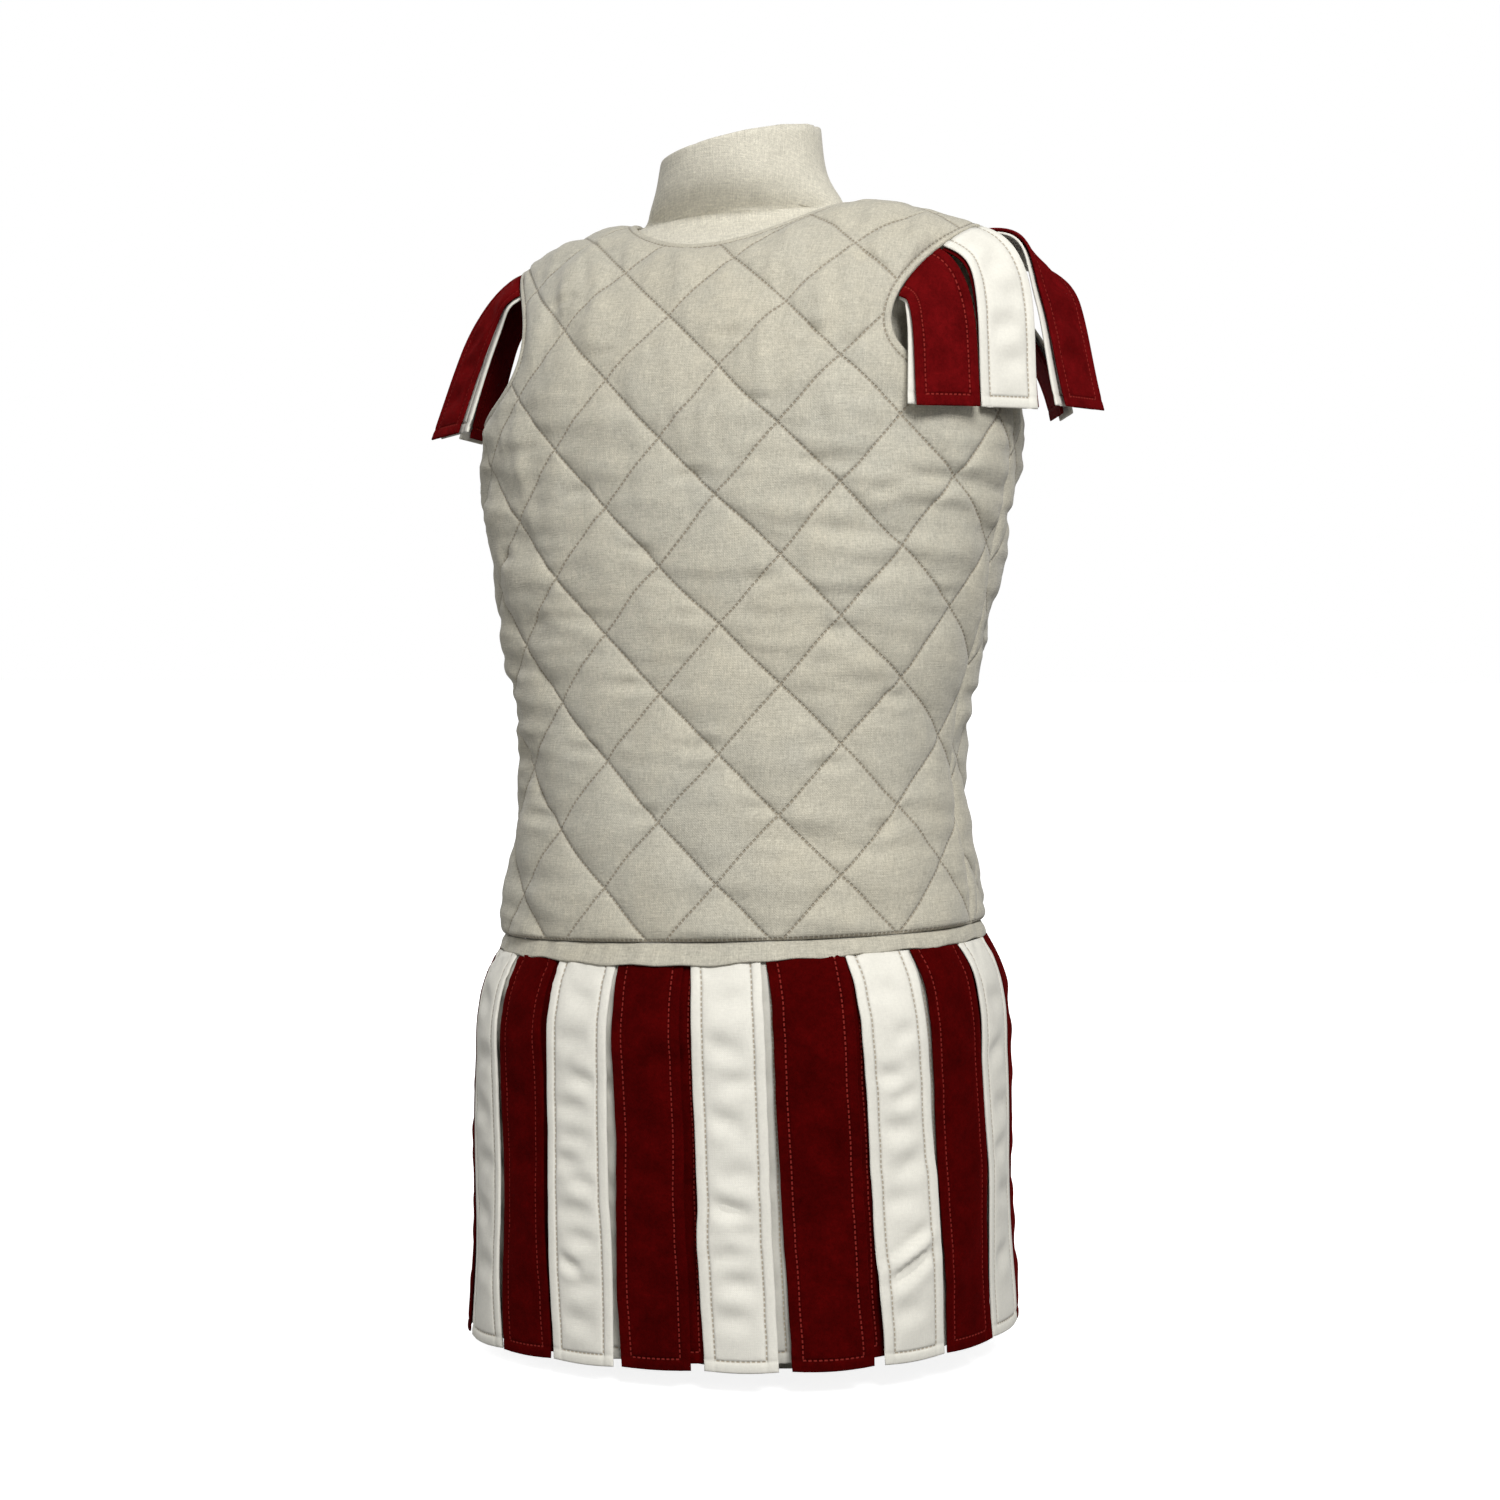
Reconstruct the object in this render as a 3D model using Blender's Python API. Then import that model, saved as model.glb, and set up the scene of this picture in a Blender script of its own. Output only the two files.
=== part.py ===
"""Quilted sleeveless gambeson, with a skirt and shoulder wings of loose strips, on a limbless dress form.

Metres, +Z up, front towards -Y. The origin is the middle of the dress form's flat underside, which the
part stands on. The body is a front and a back panel of padded linen, quilted in diamonds. A waistband
closes them below and carries two rows of hanging strips; two more rows hang round each shoulder.
"""

import math

import bmesh
import bpy
import numpy as np
from mathutils import Vector, geometry

# Heights
HEM_HEIGHT = 0.016          # the skirt's hem over the floor, at the middle
STRIP_DROP = 0.266          # waistband to hem, straight down
BAND_DEPTH = 0.0105
SKIRT_TOP = HEM_HEIGHT + STRIP_DROP
SEAM_HEIGHT = SKIRT_TOP + BAND_DEPTH
CHEST_RISE = 0.3235         # waist seam to the fullest chest
CHEST_HEIGHT = SEAM_HEIGHT + CHEST_RISE
LEAN = 0.040                # the figure stands lower on the wearer's right: rise over run along X
LEAN_START = 0.012          # height at which the lean is whole, over the level underside

# The body's section is a superellipse; widths are half widths, depths are measured from its centre
SECTION_POWER = 2.2
FIGURE_COLUMNS = ("rise", "half_width", "front", "back", "set_back")
FIGURE = (                  # rise is measured from the waist seam
    (0.0000, 0.1690, 0.1320, 0.1330, 0.0000),
    (0.0450, 0.1625, 0.1270, 0.1290, -0.0010),
    (0.1000, 0.1545, 0.1220, 0.1260, -0.0010),
    (0.1400, 0.1560, 0.1215, 0.1270, 0.0010),
    (0.1900, 0.1680, 0.1235, 0.1290, 0.0050),
    (0.2600, 0.1815, 0.1275, 0.1340, 0.0090),
    (0.3235, 0.1930, 0.1300, 0.1380, 0.0130),
)
SKIRT_COLUMNS = ("drop", "half_width", "front", "back")
SKIRT = (                   # drop is measured from the waistband's lower edge
    (0.000, 0.1730, 0.1350, 0.1350),
    (0.015, 0.1815, 0.1420, 0.1420),
    (0.042, 0.1880, 0.1500, 0.1500),
    (0.080, 0.1890, 0.1515, 0.1515),
    (0.150, 0.1905, 0.1530, 0.1530),
    (0.268, 0.1925, 0.1560, 0.1560),
)

# Shoulders, neckline and armholes
RIDGE_RISE = 0.4960         # waist seam to the shoulder seam at the neck
RIDGE_HEIGHT = SEAM_HEIGHT + RIDGE_RISE
RIDGE_FLAT = 0.085          # half width over which the ridge stays level
RIDGE_FALL = 0.0235         # how far it falls to the shoulder tip
RIDGE_POWER = 1.6
TIP_X = 0.171               # the shoulder tip
RIDGE_SET_BACK = (0.010, 0.014)   # at the neck and at the tip
NECK_HALF_WIDTH = 0.078
NECK_FRONT = 0.071
NECK_BACK = 0.055
ARMPIT_RISE = 0.034         # the armhole's foot over the fullest chest
ARMHOLE_PULL = {            # the armhole curve's two handles, as (x, rise over the waist seam)
    "front": ((0.110, 0.4050), (0.135, 0.3750)),
    "back": ((0.135, 0.4385), (0.150, 0.3750)),
}

# Quilting: diamonds, as wide and as high as given, raised from a wall that is thinnest at the stitching
WALL = 0.0030
PUFF = 0.0045
PUFF_POWER = 0.60
DIAMOND_WIDTH = 0.0817
DIAMOND_HEIGHT = 0.0849
DIAMOND_START = (-0.0062, -0.0066)   # the lattice's lowest middle crossing, from the centre line and the seam
DIAMOND_RISE = 0.0400       # how much its rows climb over run
DIAMOND_DRIFT = -0.0160     # how much its columns lean over height
QUILT_STEPS = 4             # mesh steps along a diamond's side
OUTLINE_STEPS = {"waist": 14, "side": 18, "armhole": 15, "shoulder": 7, "neck": 8}
EDGE_ROLL = 0.012           # the padding thins out over this distance from an edge
EDGE_PUFF = 0.25            # and keeps this share of its height at the edge itself
EDGE_INSET = 0.006
FINE_ABOVE = 0.085          # the plain inner face is as fine as the outer one this far over the chest

GAP = 0.0003                # between pieces that are sewn together

# Waistband and skirt strips
BAND_FACE = -0.0005         # its outer face, from the skirt's section
BAND_WALL = 0.0043
BAND_STEPS = 64
STRIPS = 20
STRIP_WALL = 0.0018
STRIP_TOP_SHARE = 0.96      # its width at the band, of the width below
STRIP_WIDE_BY = 0.060       # and the drop by which it is full
STRIP_GRID = (3, 8)         # columns and rows of faces
STRIP_ROW_SPREAD = 1.25     # rows crowd towards the band by this power
STRIP_COLUMNS = ("width", "start", "swing")
# The middle red strip comes first, then round to the wearer's left. Start is how far off its even place a
# strip is sewn, and swing how far round its hem hangs from there.
STRIP_SET = (
    (0.0495, -0.0095, 0.0120),
    (0.0495, -0.0075, 0.0125),
    (0.0540, -0.0045, 0.0135),
    (0.0480, -0.0045, 0.0155),
    (0.0500, -0.0060, 0.0124),
    (0.0500, -0.0070, 0.0110),
    (0.0500, -0.0080, 0.0084),
    (0.0500, -0.0088, 0.0078),
    (0.0500, -0.0094, 0.0064),
    (0.0500, -0.0100, 0.0060),
    (0.0500, -0.0100, 0.0080),
    (0.0500, -0.0100, 0.0060),
    (0.0500, -0.0100, 0.0040),
    (0.0500, -0.0100, 0.0060),
    (0.0500, -0.0100, 0.0090),
    (0.0500, -0.0100, 0.0130),
    (0.0500, -0.0100, 0.0180),
    (0.0500, -0.0100, 0.0230),
    (0.0460, -0.0095, 0.0190),
    (0.0500, -0.0095, 0.0135),
)
OUTER_FACE = -0.0008
INNER_FACE = OUTER_FACE - STRIP_WALL - 0.0006
INNER_CLEAR = 0.0020        # further in below the band, where the skirt bends outwards
INNER_CLEAR_DROP = 0.030
INNER_SHIFT = 0.012         # the inner row stands this far round from the outer one
INNER_SHORTER = 0.004
WAVE = 0.0018               # half the in-and-out swing of a hanging strip at its hem
WAVE_LENGTH = 0.170
WAVE_TURN = 1.7             # its phase from one strip to the next and across one strip, in radians
WAVE_SKEW = 2.4

# Shoulder wings
ARMHOLE_STEPS = 24
WING_WALL = 0.0018
WING_WIDTH = 0.0480
WING_SEAT = 0.0010          # wing strip to the armhole's edge
WING_COLUMNS = (
    "cloth", "lined", "round", "seat", "hem_x", "hem_y", "hem_rise", "facing", "reach", "flare", "rise",
)
# Round runs along the armhole from the shoulder tip, front first, and seat is the width sewn to it. Facing
# is the hem's turn to the front in degrees; reach, flare and rise shape the arch between seam and hem.
WINGS = {
    "left": (
        ("red", True, -0.080, 0.050, 0.1740, -0.0700, 0.3435, 42.0, 0.22, 0.14, 0.0),
        ("white", True, -0.026, 0.049, 0.2015, -0.0230, 0.3440, 34.0, 0.30, 0.12, 0.0),
        ("red", True, 0.027, 0.046, 0.2390, 0.0290, 0.3455, 17.0, 0.50, 0.32, 0.028),
        ("white", True, 0.080, 0.050, 0.2090, 0.0910, 0.3470, -25.0, 0.13, 0.20, 0.0),
    ),
    "right": (
        ("red", True, -0.037, 0.048, 0.2170, -0.0300, 0.3545, 51.0, 0.20, 0.38, 0.0),
        ("white", True, 0.016, 0.048, 0.2270, 0.0290, 0.3560, 8.0, 0.20, 0.34, 0.0),
        ("red", False, 0.067, 0.047, 0.2140, 0.0830, 0.3570, -20.0, 0.24, 0.26, 0.0),
        ("white", False, 0.116, 0.044, 0.1800, 0.1180, 0.3560, -48.0, 0.30, 0.16, 0.0),
    ),
}
WING_START_OUT = 0.010
WING_FALL_SHARE = 0.50      # the lower handle stands this share of the fall over the hem
WING_GRID = (3, 8)
WING_ROW_SPREAD = 1.1
WING_TURNED_BY = 0.55       # by this share of its run a strip has turned from the armhole to its hem's facing
WING_HELD_TO = 0.30         # and to this share it still follows the armhole's bend
WING_LINING_SHIFT = {"red": -0.006, "white": 0.006}
WING_LINING_DEPTH = 0.0025
WING_LINING_GAP = 0.0013
WING_LINING_LENGTH = 0.985

# Dress form
FORM_SEAT = 0.0010          # under the cloth along the shoulder seam
FORM_EASE = 0.0095          # under the cloth elsewhere
FORM_HIP = (0.156, 0.118, 0.120)
FORM_HIP_DROP = 0.030       # the hip ends this far under the skirt's top
FORM_CHEST_RISES = (0.03, 0.06, 0.09, 0.115, 0.133, 0.147, 0.156, 0.162, 0.1662)
FORM_NECK_RISES = (0.002, 0.006, 0.012, 0.020, 0.032)
FORM_ARM_RISE = 0.070       # over the chest, the rise in which the form narrows to its shoulder's end
RIDGE_SAMPLES = 300
NECK_FILLET = 6             # power by which shoulder and neck run together
NECK_TURN_DROP = 0.020      # the neck starts to lean this far under the ridge
NECK_TURN_LENGTH = 0.030    # and has its full lean this much higher
HAIR = 0.0001
# The form's foot: each height and its share of the hip's size.
FORM_FOOT = ((0.0, 0.66), (0.012, 0.74), (0.040, 0.87), (0.080, 0.96), (0.130, 1.0))
FORM_SHOULDER_END = 0.150
FORM_POINTS = 28
NECK_RISE = 0.0460           # the neck's top over the shoulder seam
NECK_SLOPE = 0.175
NECK_SLOPE_AZIMUTH = math.radians(22.0)
NECK_COLUMNS = ("rise", "half_width", "half_depth", "set_back")
NECK = (                    # rise is measured from the shoulder seam at the neck
    (-0.190, 0.0700, 0.0440, 0.0090),
    (-0.050, 0.0715, 0.0430, 0.0090),
    (-0.018, 0.0718, 0.0425, 0.0088),
    (-0.004, 0.0722, 0.0440, 0.0088),
    (0.0050, 0.0705, 0.0505, 0.0080),
    (0.0120, 0.0660, 0.0545, 0.0060),
    (0.0220, 0.0605, 0.0565, 0.0030),
    (0.0380, 0.0572, 0.0565, 0.0010),
    (0.0850, 0.0560, 0.0560, -0.0030),
)

MATERIALS = {               # base colour and roughness
    "linen": ((0.510, 0.480, 0.390), 0.92),
    "form_linen": ((0.560, 0.530, 0.440), 0.90),
    "red": ((0.100, 0.003, 0.005), 0.95),
    "white": ((0.800, 0.770, 0.690), 0.85),
}


def column(table, names, name):
    return np.array([row[names.index(name)] for row in table])


def smooth(table, names, name, at):
    """A cubic curve through one column of a table, against its first column."""
    xs = column(table, names, names[0])
    ys = column(table, names, name)
    slopes = np.gradient(ys, xs)
    i = int(np.clip(np.searchsorted(xs, at) - 1, 0, len(xs) - 2))
    width = xs[i + 1] - xs[i]
    t = (np.clip(at, xs[0], xs[-1]) - xs[i]) / width
    return float(
        ys[i] * (1 + 2 * t) * (1 - t) ** 2
        + slopes[i] * width * t * (1 - t) ** 2
        + ys[i + 1] * t * t * (3 - 2 * t)
        - slopes[i + 1] * width * t * t * (1 - t)
    )


def eased(t):
    """A smooth rise from 0 to 1 while t does the same, and level on either side."""
    t = min(1.0, max(0.0, t))
    return t * t * (3 - 2 * t)


def half_ring(half_width, front, back, set_back, steps=180):
    """Half of a body section from the centre front round to the centre back: x, y and arc length."""
    t = np.linspace(0.0, math.pi, steps + 1)
    cosine = np.cos(t)
    depth = np.where(cosine > 0, front, back)
    x = half_width * np.abs(np.sin(t)) ** (2 / SECTION_POWER)
    y = set_back - depth * np.sign(cosine) * np.abs(cosine) ** (2 / SECTION_POWER)
    arc = np.concatenate(([0.0], np.cumsum(np.hypot(np.diff(x), np.diff(y)))))
    return x, y, arc


RING_CACHE = {}


def body_ring(rise):
    key = ("body", round(rise, 7))
    if key not in RING_CACHE:
        sizes = [smooth(FIGURE, FIGURE_COLUMNS, name, rise) for name in FIGURE_COLUMNS[1:]]
        RING_CACHE[key] = half_ring(*sizes)
    return RING_CACHE[key]


def skirt_ring(drop):
    key = ("skirt", round(drop, 7))
    if key not in RING_CACHE:
        sizes = [smooth(SKIRT, SKIRT_COLUMNS, name, drop) for name in SKIRT_COLUMNS[1:]]
        RING_CACHE[key] = half_ring(*sizes, 0.0)
    return RING_CACHE[key]


def round_ring(ring, arc_length):
    """The point at a signed arc length from the centre front, to the wearer's left when positive."""
    x, y, arc = ring
    half = arc[-1]
    turned = (arc_length + half) % (2 * half) - half
    side = 1.0 if turned >= 0 else -1.0
    return side * float(np.interp(abs(turned), arc, x)), float(np.interp(abs(turned), arc, y))


CHEST_RING = body_ring(CHEST_RISE)
HALF_CHEST = float(CHEST_RING[2][-1])
QUARTER = len(CHEST_RING[0]) // 2
CHEST_SET_BACK = float(CHEST_RING[1][QUARTER])


def ridge(x):
    """Height and set-back of the shoulder ridge at a distance from the middle."""
    span = max(0.0, abs(x) - RIDGE_FLAT) / (TIP_X - RIDGE_FLAT)
    height = RIDGE_HEIGHT - RIDGE_FALL * span**RIDGE_POWER
    set_back = RIDGE_SET_BACK[0] + (RIDGE_SET_BACK[1] - RIDGE_SET_BACK[0]) * min(1.0, span)
    return height, set_back


SHOULDER_STEPS = 48
SHOULDER_ANGLES = np.linspace(0.0, math.pi / 2, SHOULDER_STEPS + 1)


def shoulder_curve(x, y_chest):
    """From the chest ring up and over to the ridge, in the plane of one x: y, z and arc length."""
    top, set_back = ridge(x)
    middle = CHEST_SET_BACK + (set_back - CHEST_SET_BACK) * np.sin(SHOULDER_ANGLES)
    y = middle + (y_chest - CHEST_SET_BACK) * np.cos(SHOULDER_ANGLES)
    z = CHEST_HEIGHT + (top - CHEST_HEIGHT) * np.sin(SHOULDER_ANGLES)
    arc = np.concatenate(([0.0], np.cumsum(np.hypot(np.diff(y), np.diff(z)))))
    return y, z, arc


def cloth_point(panel, s, h):
    """The wall's stitching face at s along the panel from its centre line and h up from the waist seam."""
    if h <= CHEST_RISE:
        ring = body_ring(h)
        start = 0.0 if panel == "front" else ring[2][-1]
        x, y = round_ring(ring, start + s)
        return np.array((x, y, SEAM_HEIGHT + h))
    start = 0.0 if panel == "front" else HALF_CHEST
    x, y_chest = round_ring(CHEST_RING, start + s)
    y, z, arc = shoulder_curve(x, y_chest)
    up = min(h - CHEST_RISE, arc[-1])
    return np.array((x, float(np.interp(up, arc, y)), float(np.interp(up, arc, z))))


def cloth_normal(panel, s, h, step=0.001):
    across = cloth_point(panel, s + step, h) - cloth_point(panel, s - step, h)
    up = cloth_point(panel, s, h + step) - cloth_point(panel, s, h - step)
    normal = np.cross(across, up)
    return normal / np.linalg.norm(normal)


def quarter_girth(panel, rise):
    """Half of the panel's width at a height: from its centre line to the side seam."""
    arc = body_ring(rise)[2]
    front = arc[len(arc) // 2]
    return float(front if panel == "front" else arc[-1] - front)


def chest_s(panel, x):
    """How far along the panel the column at this x stands."""
    xs, _, arc = CHEST_RING
    if panel == "front":
        return float(np.interp(x, xs[: QUARTER + 1], arc[: QUARTER + 1]))
    return float(np.interp(x, xs[: QUARTER - 1 : -1], arc[-1] - arc[: QUARTER - 1 : -1]))


def column_of(panel, x):
    s = chest_s(panel, x)
    start = 0.0 if panel == "front" else -HALF_CHEST
    return s, shoulder_curve(x, round_ring(CHEST_RING, start + s)[1])


def at_height(panel, x, z):
    """Flat coordinates of the point of the shoulder with this x and height."""
    s, (_, zs, arc) = column_of(panel, x)
    return s, CHEST_RISE + float(np.interp(z, zs, arc))


def at_depth(panel, x, y):
    """Flat coordinates of the point of the shoulder with this x and y."""
    s, (ys, _, arc) = column_of(panel, x)
    if panel == "front":
        return s, CHEST_RISE + float(np.interp(y, ys, arc))
    return s, CHEST_RISE + float(np.interp(-y, -ys, arc))


def bezier(handles, t):
    """The point of a cubic curve with four handles at t, from 0 to 1."""
    weights = ((1 - t) ** 3, 3 * t * (1 - t) ** 2, 3 * t * t * (1 - t), t**3)
    return sum(weight * np.array(handle) for weight, handle in zip(weights, handles))


def bezier_slope(handles, t):
    """The direction in which that curve runs at t."""
    weights = (-3 * (1 - t) ** 2, 3 * (1 - t) * (1 - 3 * t), 3 * t * (2 - 3 * t), 3 * t * t)
    return sum(weight * np.array(handle) for weight, handle in zip(weights, handles))


def armhole_curve(panel, steps):
    """The armhole from its foot at the side seam up to the shoulder tip, as (x, height)."""
    tip = (TIP_X, ridge(TIP_X)[0])
    foot = (float(CHEST_RING[0][QUARTER]), CHEST_HEIGHT + ARMPIT_RISE)
    upper, lower = [(x, SEAM_HEIGHT + rise) for x, rise in ARMHOLE_PULL[panel]]
    return [bezier((foot, lower, upper, tip), i / steps) for i in range(steps + 1)]


def neck_y(panel, x):
    """Where the neckline, an oval seen from above, crosses this x."""
    share = math.sqrt(max(0.0, 1 - (x / NECK_HALF_WIDTH) ** 2))
    return RIDGE_SET_BACK[0] + share * (-NECK_FRONT if panel == "front" else NECK_BACK)


def half_outline(panel):
    """The panel's cut from the waist seam's middle round its side to the neckline's middle."""
    half_gap = GAP / 2
    steps = OUTLINE_STEPS
    points = [(quarter_girth(panel, 0.0) * i / steps["waist"], 0.0) for i in range(steps["waist"])]
    for i in range(steps["side"] + 1):
        rise = CHEST_RISE * i / steps["side"]
        points.append((quarter_girth(panel, rise) - half_gap, rise))
    armhole = [at_height(panel, x, z) for x, z in armhole_curve(panel, steps["armhole"])]
    points += [(armhole[0][0] - half_gap, armhole[0][1])] + armhole[1:-1]
    for i in range(steps["shoulder"] + 1):
        x = TIP_X + (NECK_HALF_WIDTH - TIP_X) * i / steps["shoulder"]
        s, h = at_depth(panel, x, ridge(x)[1])
        points.append((s, h - half_gap))
    for i in range(1, steps["neck"] + 1):
        x = NECK_HALF_WIDTH * math.cos(math.pi / 2 * i / steps["neck"])
        points.append(at_depth(panel, x, neck_y(panel, x)))
    return points


def whole_outline(panel):
    half = half_outline(panel)
    other = [(-s, h) for s, h in half[1:-1]]
    return np.array(half + other[::-1])


def edge_distance(points, outline):
    """Distance of each point from a closed outline, and whether it lies inside."""
    a = outline
    b = np.roll(outline, -1, axis=0)
    along = b - a
    to_point = points[:, None, :] - a[None, :, :]
    t = np.clip((to_point * along).sum(2) / (along * along).sum(1), 0.0, 1.0)
    distance = np.linalg.norm(to_point - t[..., None] * along, axis=2).min(1)
    x, y = points[:, 0:1], points[:, 1:2]
    crosses = (a[:, 1] > y) != (b[:, 1] > y)
    rise = np.where(along[:, 1] == 0, 1.0, along[:, 1])
    at_x = a[:, 0] + (y - a[:, 1]) / rise * along[:, 0]
    inside = (crosses & (x < at_x)).sum(1) % 2 == 1
    return distance, inside


def inset_loop(outline, distance):
    """The outline moved inwards, leaving out points that would crowd or cross."""
    before = np.roll(outline, 1, axis=0)
    after = np.roll(outline, -1, axis=0)
    along = after - before
    inward = np.stack((-along[:, 1], along[:, 0]), axis=1)
    inward /= np.linalg.norm(inward, axis=1)[:, None]
    moved = outline + inward * distance
    away, inside = edge_distance(moved, outline)
    return moved[inside & (away > distance * 0.8)]


def lattice_coordinates(s, h):
    """Counts of stitch lines crossed along the two slanting directions."""
    s = s - DIAMOND_START[0]
    h = h - DIAMOND_START[1]
    across = (s - DIAMOND_DRIFT * h) / DIAMOND_WIDTH
    up = (h - DIAMOND_RISE * s) / DIAMOND_HEIGHT
    return up + across, up - across


def lattice_points(outline, share):
    """Every crossing of a mesh that divides each diamond's side into 1/share steps."""
    reach = int(1.4 / (share * DIAMOND_WIDTH))
    found = []
    for i in range(-reach, reach + 1):
        for j in range(-reach, reach + 1):
            up = (i + j) * share / 2 * DIAMOND_HEIGHT
            across = (i - j) * share / 2 * DIAMOND_WIDTH
            s = (across + DIAMOND_DRIFT * up) / (1 - DIAMOND_DRIFT * DIAMOND_RISE)
            found.append((s + DIAMOND_START[0], up + DIAMOND_RISE * s + DIAMOND_START[1]))
    found = np.array(found)
    low = outline.min(0)
    high = outline.max(0)
    return found[((found > low) & (found < high)).all(1)]


def relief(s, h, edge):
    """How far the padding stands out of the stitching face."""
    p, q = lattice_coordinates(s, h)
    pillow = (abs(math.sin(math.pi * p)) * abs(math.sin(math.pi * q))) ** PUFF_POWER
    t = min(1.0, edge / EDGE_ROLL)
    return PUFF * pillow * (EDGE_PUFF + (1 - EDGE_PUFF) * t * (2 - t))


def triangulate(outline, inner_points):
    """Triangles over an outline and the points inside it."""
    flat = [Vector(p) for p in np.concatenate((outline, inner_points))]
    rim = list(range(len(outline)))
    points, _, faces, origins, _, _ = geometry.delaunay_2d_cdt(flat, [], [rim], 1, 1e-6)
    back = [found[0] for found in origins]
    order = np.array([[p.x, p.y] for p in points])
    return order, faces, {source: place for place, source in enumerate(back)}


def panel_mesh(panel):
    """A closed wall: quilted outside, plain inside, square at its edges."""
    outline = whole_outline(panel)
    loop = inset_loop(outline, EDGE_INSET)
    fine = lattice_points(outline, 1 / QUILT_STEPS)
    coarse = lattice_points(outline, 2 / QUILT_STEPS)
    high = fine[fine[:, 1] > CHEST_RISE + FINE_ABOVE]
    low = coarse[coarse[:, 1] <= CHEST_RISE + FINE_ABOVE]
    mesh = bmesh.new()
    rims = []
    for outside, inner_points in ((True, fine), (False, np.concatenate((low, high)))):
        away, inside = edge_distance(inner_points, outline)
        keep = inner_points[inside & (away > EDGE_INSET * 1.6)]
        flat, faces, place = triangulate(outline, np.concatenate((loop, keep)))
        edge, _ = edge_distance(flat, outline)
        made = []
        for (s, h), away in zip(flat, edge):
            lift = relief(s, h, away) if outside else -WALL
            made.append(mesh.verts.new(cloth_point(panel, s, h) + lift * cloth_normal(panel, s, h)))
        for face in faces:
            mesh.faces.new([made[i] for i in (face if outside else reversed(face))])
        rims.append([made[place[i]] for i in range(len(outline))])
    outer, inner = rims
    for i in range(len(outer)):
        j = (i + 1) % len(outer)
        mesh.faces.new((outer[j], outer[i], inner[i], inner[j]))
    return mesh


def ribbon_mesh(outer, inner):
    """A closed strip of cloth from two equal grids of points, rows running down it."""
    mesh = bmesh.new()
    rows = len(outer)
    columns = len(outer[0])
    faces = [[[mesh.verts.new(p) for p in row] for row in grid] for grid in (outer, inner)]
    for side, grid in enumerate(faces):
        for i in range(rows - 1):
            for j in range(columns - 1):
                corners = (grid[i][j], grid[i + 1][j], grid[i + 1][j + 1], grid[i][j + 1])
                mesh.faces.new(corners if side else corners[::-1])
    border = [(i, 0) for i in range(rows - 1)] + [(rows - 1, j) for j in range(columns - 1)]
    border += [(i, columns - 1) for i in range(rows - 1, 0, -1)] + [(0, j) for j in range(columns - 1, 0, -1)]
    for (i, j), (k, m) in zip(border, border[1:] + border[:1]):
        mesh.faces.new((faces[0][i][j], faces[0][k][m], faces[1][k][m], faces[1][i][j]))
    return mesh


def ring_normal(ring, arc_length, step=0.001):
    x0, y0 = round_ring(ring, arc_length - step)
    x1, y1 = round_ring(ring, arc_length + step)
    length = math.hypot(x1 - x0, y1 - y0)
    return (y1 - y0) / length, (x0 - x1) / length


def skirt_point(drop, arc_length, out):
    """A point of the skirt: below the band, round from the centre front and out from the section."""
    ring = skirt_ring(drop)
    x, y = round_ring(ring, arc_length)
    nx, ny = ring_normal(ring, arc_length)
    return (x + out * nx, y + out * ny, SKIRT_TOP - drop)


def band_mesh():
    mesh = bmesh.new()
    rows = []
    top_ring = body_ring(0.0)
    for i in range(BAND_STEPS):
        turn = i / BAND_STEPS
        loop = []
        for top, out in ((False, BAND_FACE), (True, BAND_FACE), (True, BAND_FACE - BAND_WALL),
                         (False, BAND_FACE - BAND_WALL)):
            if top:
                along = turn * 2 * top_ring[2][-1]
                x, y = round_ring(top_ring, along)
                nx, ny = ring_normal(top_ring, along)
                point = (x + out * nx, y + out * ny, SEAM_HEIGHT - GAP)
            else:
                point = skirt_point(0.0, turn * 2 * skirt_ring(0.0)[2][-1], out)
            loop.append(mesh.verts.new(point))
        rows.append(loop)
    for i in range(BAND_STEPS):
        here, there = rows[i], rows[(i + 1) % BAND_STEPS]
        for k in range(4):
            mesh.faces.new((here[k], there[k], there[(k + 1) % 4], here[(k + 1) % 4]))
    return mesh


def skirt_strip_mesh(index, row):
    """One hanging strip: index counts round from the middle red one."""
    outside = row == "outer"
    columns, rows = STRIP_GRID
    length = STRIP_DROP - (0.0 if outside else INNER_SHORTER)
    set_as = dict(zip(STRIP_COLUMNS, STRIP_SET[index]))
    grids = ([], [])
    for i in range(rows + 1):
        share = (i / rows) ** STRIP_ROW_SPREAD
        drop = GAP + (length - GAP) * share
        girth = 2 * skirt_ring(drop)[2][-1]
        middle = girth * index / STRIPS + set_as["start"] + set_as["swing"] * share
        if not outside:
            middle += INNER_SHIFT
        width = set_as["width"] * (STRIP_TOP_SHARE + (1 - STRIP_TOP_SHARE) * min(1.0, drop / STRIP_WIDE_BY))
        lines = ([], [])
        for j in range(columns + 1):
            along = middle + width * (j / columns - 0.5)
            swing = math.sin(2 * math.pi * drop / WAVE_LENGTH + WAVE_TURN * index + WAVE_SKEW * j / columns)
            if outside:
                out = OUTER_FACE + WAVE * share * (1 + swing)
            else:
                clear = INNER_CLEAR * min(1.0, drop / INNER_CLEAR_DROP)
                out = INNER_FACE - clear - WAVE * share * 0.5 * (1 + swing)
            lines[0].append(skirt_point(drop, along, out))
            lines[1].append(skirt_point(drop, along, out - STRIP_WALL))
        grids[0].append(lines[0])
        grids[1].append(lines[1])
    return ribbon_mesh(*grids)


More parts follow.
